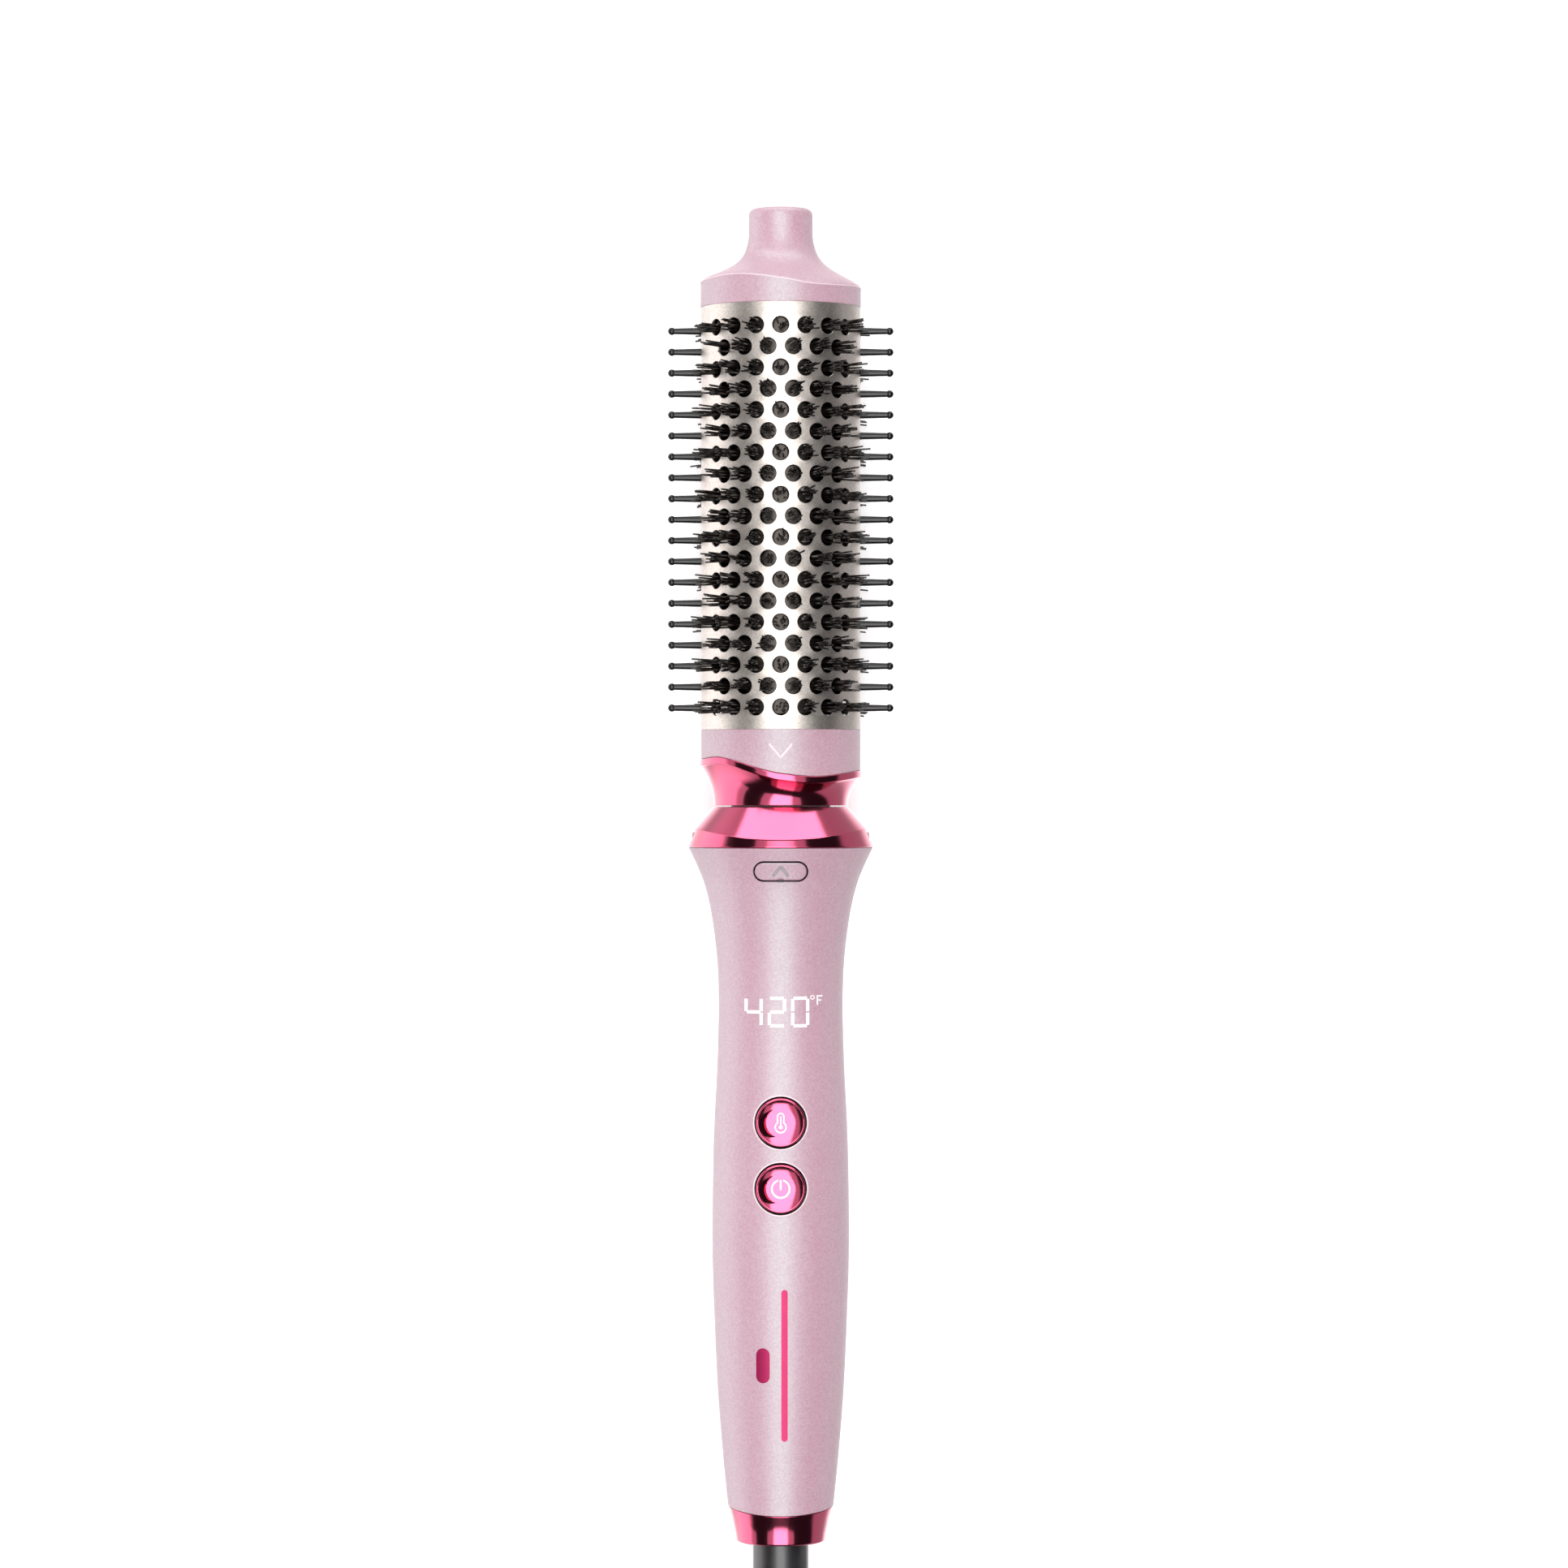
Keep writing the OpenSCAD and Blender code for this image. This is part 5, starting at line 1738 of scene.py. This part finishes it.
@dataclass
class Cord:
    """The mains cord: it leaves the sleeve, lies folded in a tied hank and ends in its plug."""

    diameter: float = 6.0
    length: float = 2.04
    near: float = -253.0
    far: float = -365.0
    tie_reach: float = 8.0
    squeeze: float = 46.0
    # Lane radius and layer of each strand on the +X side, in the order that it is wound
    strands: tuple[tuple[float, int], ...] = ((18, 2), (24, 2), (24, 1), (18, 1), (18, 0), (24, 0))
    lead: tuple[tuple[float, float, float], ...] = (
        (0, -207.65, 22.3), (0, -216, 22.2), (1.5, -226, 22), (5, -236, 21.8), (10, -246, 21),
        (14, -255, 19), (15.3, -263, 16.9))
    tail: tuple[tuple[float, float, float], ...] = (
        (24, -373, 3.1), (23.2, -381, 3.3), (21, -388, 4.2), (18, -394, 5.7),
        (15.7, -399.5, 6.8), (15, -403.5, 7), (15, -406.5, 7))
    plug: tuple[float, float, float] = (15.0, -406.0, 7.0)
    run_parts: int = 14
    loop_parts: int = 20
    # Height of the lowest strand and the step of a layer, free and under the tie
    free: tuple[float, float] = (3.0, 6.0)
    tied: tuple[float, float] = (4.2, 5.45)
    # Distance from the middle of the inner and the outer lane under the tie
    held: tuple[float, float] = (3.0, 9.0)
    lane_split: float = 20.0

    @property
    def middle(self) -> float:
        """Gives the tie's place along."""
        return (self.near + self.far) / 2

    def strand_at(self, side: float, lane: float, layer: int, y: float) -> Vector:
        """Gives a place on a straight run, drawn in where the tie holds it.

        Args:
            side: 1 on the +X side, -1 on the other.
            lane: the run's distance from the middle outside the tie.
            layer: how many strands lie under it.
            y: the place along.

        Returns:
            The place in millimetres.
        """
        away = abs(y - self.middle)
        t = min(max((self.tie_reach + self.squeeze - away) / self.squeeze, 0.0), 1.0)
        pinch = (1 - math.cos(math.pi * t)) / 2
        held = self.held[0] if lane < self.lane_split else self.held[1]
        low, tied = (start + step * layer for start, step in (self.free, self.tied))
        return Vector((side * (lane + (held - lane) * pinch), y, low + (tied - low) * pinch))

    def run(self, start: float, end: float) -> list[float]:
        """Divides a straight run, whose end is left to what follows."""
        return [start + (end - start) * k / self.run_parts for k in range(self.run_parts)]

    def turns(self) -> list[Vector]:
        """Gives the wound part of the cord.

        Returns:
            Places in millimetres, strand by strand with the loops between them.
        """
        out: list[Vector] = []
        for i, (lane, layer) in enumerate(self.strands):
            going = self.run(self.near, self.far)
            if i == 0:
                going = [y for y in going if y < self.lead[-1][1] - 6]
            out += [self.strand_at(1, lane, layer, y) for y in going]
            if i == len(self.strands) - 1:
                out.append(self.strand_at(1, lane, layer, self.far))
                return out
            height = self.free[0] + self.free[1] * layer
            for k in range(self.loop_parts):
                turn = math.pi * k / self.loop_parts
                out.append(Vector((lane * math.cos(turn), self.far - lane * math.sin(turn),
                                   height)))
            out += [self.strand_at(-1, lane, layer, y) for y in self.run(self.far, self.near)]
            after, lower = self.strands[i + 1]
            for k in range(self.loop_parts):
                share = k / self.loop_parts
                ease = smooth_share(share, 0, 1)
                radius = lane + (after - lane) * ease
                turn = math.pi * share
                out.append(Vector((-radius * math.cos(turn), self.near + radius * math.sin(turn),
                                   height + self.free[1] * (lower - layer) * ease)))
        return out

    def route(self) -> list[Vector]:
        """Gives the whole centre line in metres, from the sleeve to the plug."""
        return [p * MM for p in (softened([Vector(p) for p in self.lead], 3) + self.turns()
                                 + softened([Vector(p) for p in self.tail], 3))]

    def tie(self) -> bpy.types.Object:
        """Builds the strap round the hank, with its overlapped end.

        Returns:
            The strap.
        """
        half_w, top, thick, corner = 13.6, 18.2, 1.1, 3.2
        outline = [(cx + corner * nx, cz + corner * nz, nx, nz)
                   for cx, cz, nx, nz in corner_arcs(half_w, thick, top, corner, -90, 6)]
        rings = []
        for y, out in ((-5.9, 0.15), (-5.6, 1.0), (5.6, 1.0), (5.9, 0.15)):
            rings.append([Vector((x + nx * thick * out, self.middle + y, z + nz * thick * out)) * MM
                          for x, z, nx, nz in outline])
        for y in (5.9, -5.9):
            rings.append([Vector((x, self.middle + y, z)) * MM for x, z, _, _ in outline])
        band = loft("strap", rings, ring=True, tube=True)
        lap = [[Vector((x, self.middle + y, top + thick + lift)) * MM
                for x in (-9.5, -3, 3, 8.5)] for y, lift in
               ((-5.5, -0.15), (-5.2, 0.75), (5.2, 0.75), (5.5, -0.15))]
        flap = loft("lap", lap, ring=True, tube=False)
        return merged("cord_strap", [band, flap])

    def plug_shell(self) -> bpy.types.Object:
        """Builds the moulded plug: a tapered neck that grows into a ribbed body.

        Returns:
            The plug's body.
        """
        x0, y0, z0 = self.plug
        # Place along, half width, half height, corner
        marks = ((0, 3.6, 3.6, 3.6), (2, 3.7, 3.7, 3.7), (4, 3.95, 3.95, 3.9), (8, 4.3, 4.3, 4.2),
                 (10.6, 4.8, 4.7, 4.4), (11.6, 7.0, 5.6, 4.4), (12.6, 9.6, 6.4, 4.2),
                 (14.2, 11.4, 6.9, 3.8), (16.2, 11.9, 7.0, 3.6), (17.2, 11.4, 6.6, 3.5),
                 (18.4, 11.4, 6.6, 3.5), (19.4, 11.9, 7.0, 3.5), (21.0, 11.9, 7.0, 3.5),
                 (22.0, 11.4, 6.6, 3.4), (23.2, 11.4, 6.6, 3.4), (24.2, 11.9, 7.0, 3.4),
                 (33.5, 12.0, 7.0, 3.2), (35.4, 11.8, 6.8, 3.2), (36, 11.2, 6.2, 3.0))
        sections = []
        for along, wide, high, corner in marks:
            sections.append([
                Vector((x0 + cx + corner * nx, y0 - along, z0 + cz + corner * nz)) * MM
                for cx, cz, nx, nz in corner_arcs(wide, -high, high, corner, 0, 8)])
        return loft("plug_shell", sections, ring=False, tube=True, cap=True)

    def build(self) -> None:
        line = self.route()
        data = bpy.data.curves.new("mains_cord", "CURVE")
        data.dimensions = "3D"
        data.bevel_depth = self.diameter / 2 * MM
        data.bevel_resolution = 4
        data.use_fill_caps = True
        spline = data.splines.new("POLY")
        spline.points.add(len(line) - 1)
        for point, place in zip(spline.points, line):
            point.co = (*place, 1)
        spline.use_smooth = True
        cord = linked("mains_cord", data)
        data.materials.append(CORD_PVC.material())
        settle(cord, "handle", CORD_PVC, "cord_lead", "cord_hank", "cord_tail")
        strap = settle(self.tie(), "handle", STRAP, "cord_tie")
        plug = settle(self.plug_shell(), "handle", CORD_PVC, "plug_body")
        keep_node(BLADE, "plug_blades")
        total = sum((b - a).length for a, b in zip(line, line[1:]))
        log.info("cord centre line %.3f m in %d points", total, len(line))


def softened(points: Sequence[Vector], parts: int) -> list[Vector]:
    """Draws a smooth line through points.

    Args:
        points: the points that it passes.
        parts: steps between two of them.

    Returns:
        The finer line, both ends included.
    """
    out = []
    for i in range(len(points) - 1):
        p0, p1 = points[max(i - 1, 0)], points[i]
        p2, p3 = points[i + 1], points[min(i + 2, len(points) - 1)]
        for k in range(parts):
            t = k / parts
            out.append(0.5 * (2 * p1 + (p2 - p0) * t + (2 * p0 - 5 * p1 + 4 * p2 - p3) * t * t
                              + (3 * p1 - p0 - 3 * p2 + p3) * t ** 3))
    return out + [points[-1]]


# ---------------------------------------------------------------------- studio

@dataclass
class Studio:
    """Camera, floor and lights."""

    camera_at: tuple[float, float, float] = (0.00078, 0.0278, 1.2633)
    lens: float = 119.25
    floor_size: float = 8.0
    # Name, place, size, power and tilts about X and Y of each soft light
    lights: tuple[tuple[str, tuple[float, float, float], tuple[float, float], float,
                        tuple[float, float]], ...] = (
        ("overhead", (0.0, -0.22, 1.66), (1.12, 2.8), 33.0, (0.0, 0.0)),
        ("canopy", (0.0, -0.05, 1.86), (2.6, 3.4), 20.5, (0.0, 0.0)),
        ("tip_wall", (0.0, 2.6, 0.64), (4.2, 1.25), 58.0, (-90.0, 0.0)),
        ("left_fill", (-2.1, -0.1, 0.45), (0.8, 2.6), 5.0, (0.0, -80.0)),
    )

    # Glows of the surroundings; in each, shares along an axis of the direction are multiplied,
    # and a share rises from its first value to its second, up to its third
    glows: tuple[tuple[tuple[str, float, float, float], ...], ...] = (
        (("Z", -2.0, -1.5, 0.025),),
        (("Z", 0.08, -0.08, 0.5),),
        (("Z", -0.6, -0.92, 1.0),),
        (("X", -0.5, -0.85, 1.0), ("Z", 0.2, 0.0, 1.45)),
    )

    def camera(self) -> None:
        """Sets the camera straight over the brush."""
        data = bpy.data.cameras.new("camera")
        data.lens = self.lens
        data.sensor_width = 36
        data.clip_start = 0.01
        camera = linked("camera", data)
        camera.location = self.camera_at
        bpy.context.scene.camera = camera

    def floor(self) -> None:
        """Lays a pale floor."""
        half = self.floor_size / 2
        data = bpy.data.meshes.new("floor")
        data.from_pydata([(-half, -half, 0), (half, -half, 0), (half, half, 0), (-half, half, 0)],
                         [], [(0, 1, 2, 3)])
        floor = linked("floor", data)
        FLOOR.dress(floor)
        # The gloss shows the surroundings below, where a darker side models the form
        floor.visible_glossy = False

    def light(self) -> None:
        """Hangs the soft lights and sets the pale surroundings."""
        for name, place, size, power, tilts in self.lights:
            data = bpy.data.lights.new(name, "AREA")
            data.shape = "RECTANGLE"
            data.size, data.size_y = size
            data.energy = power
            lamp = linked(name, data)
            lamp.location = place
            lamp.rotation_euler = (math.radians(tilts[0]), math.radians(tilts[1]), 0)
        world = bpy.data.worlds.new("studio")
        world.use_nodes = True
        tree = world.node_tree
        back = tree.nodes["Background"]
        way = add_node(tree, "ShaderNodeTexCoord").outputs["Generated"]
        parts = add_node(tree, "ShaderNodeSeparateXYZ", None, {0: way}).outputs
        total: bpy.types.Node | None = None
        for terms in self.glows:
            share: bpy.types.Node | None = None
            for axis, start, end, most in terms:
                rise = add_node(tree, "ShaderNodeMapRange", {"interpolation_type": "SMOOTHSTEP"}, {
                    "Value": parts[axis], "From Min": min(start, end), "From Max": max(start, end),
                    "To Min": 0.0 if start < end else most,
                    "To Max": most if start < end else 0.0})
                share = rise if share is None else add_node(
                    tree, "ShaderNodeMath", {"operation": "MULTIPLY"}, {0: share, 1: rise})
            total = share if total is None else add_node(
                tree, "ShaderNodeMath", {"operation": "ADD"}, {0: total, 1: share})
        tree.links.new(total.outputs[0], back.inputs["Strength"])
        back.inputs["Color"].default_value = linear("#fffdfe")
        bpy.context.scene.world = world
        bpy.context.scene.view_settings.view_transform = "Standard"


def main() -> None:
    """Builds the studio and every sub-assembly."""
    logging.basicConfig(level=logging.INFO, format="%(name)s: %(message)s")
    studio = Studio()
    studio.camera()
    Tail().build()
    Cord().build()
    studio.floor()
    studio.light()
    TipCap().build()
    Barrel().build()
    Bristles().build()
    SidePins().build()
    HeadJoint().build()
    LockCollar().build()
    Shells().build()
    Buttons().build()
    keep_node(CARRIER, "front_bristle_carrier", "rear_bristle_carrier")
    keep_node(SOCKET_PINK, "spigot", "spigot_lid", "socket_liner")
    keep_node(DARK, "display_module", "tact_switches", "power_parts", "swivel_housing",
              "latch_yoke")
    keep_node(CERAMIC, "heater_plate", "tip_insulator")
    keep_node(WHITE, "chassis")
    keep_node(SLEEVE, "heater_wires", "mains_wires", "socket_leads")
    keep_node(ALUMINIUM, "front_heat_spreader", "rear_heat_spreader")
    keep_node(COPPER, "socket_contacts", "slip_brushes", "slip_rings", "thermistor")
    keep_node(STEEL, "contact_pins", "head_screws", "board_screws", "latch_clip",
              "release_springs", "thermal_fuse")
    keep_node(BOARD, "control_board")
    keep_node(LIT, "display_digits")


if __name__ == "__main__":
    main()
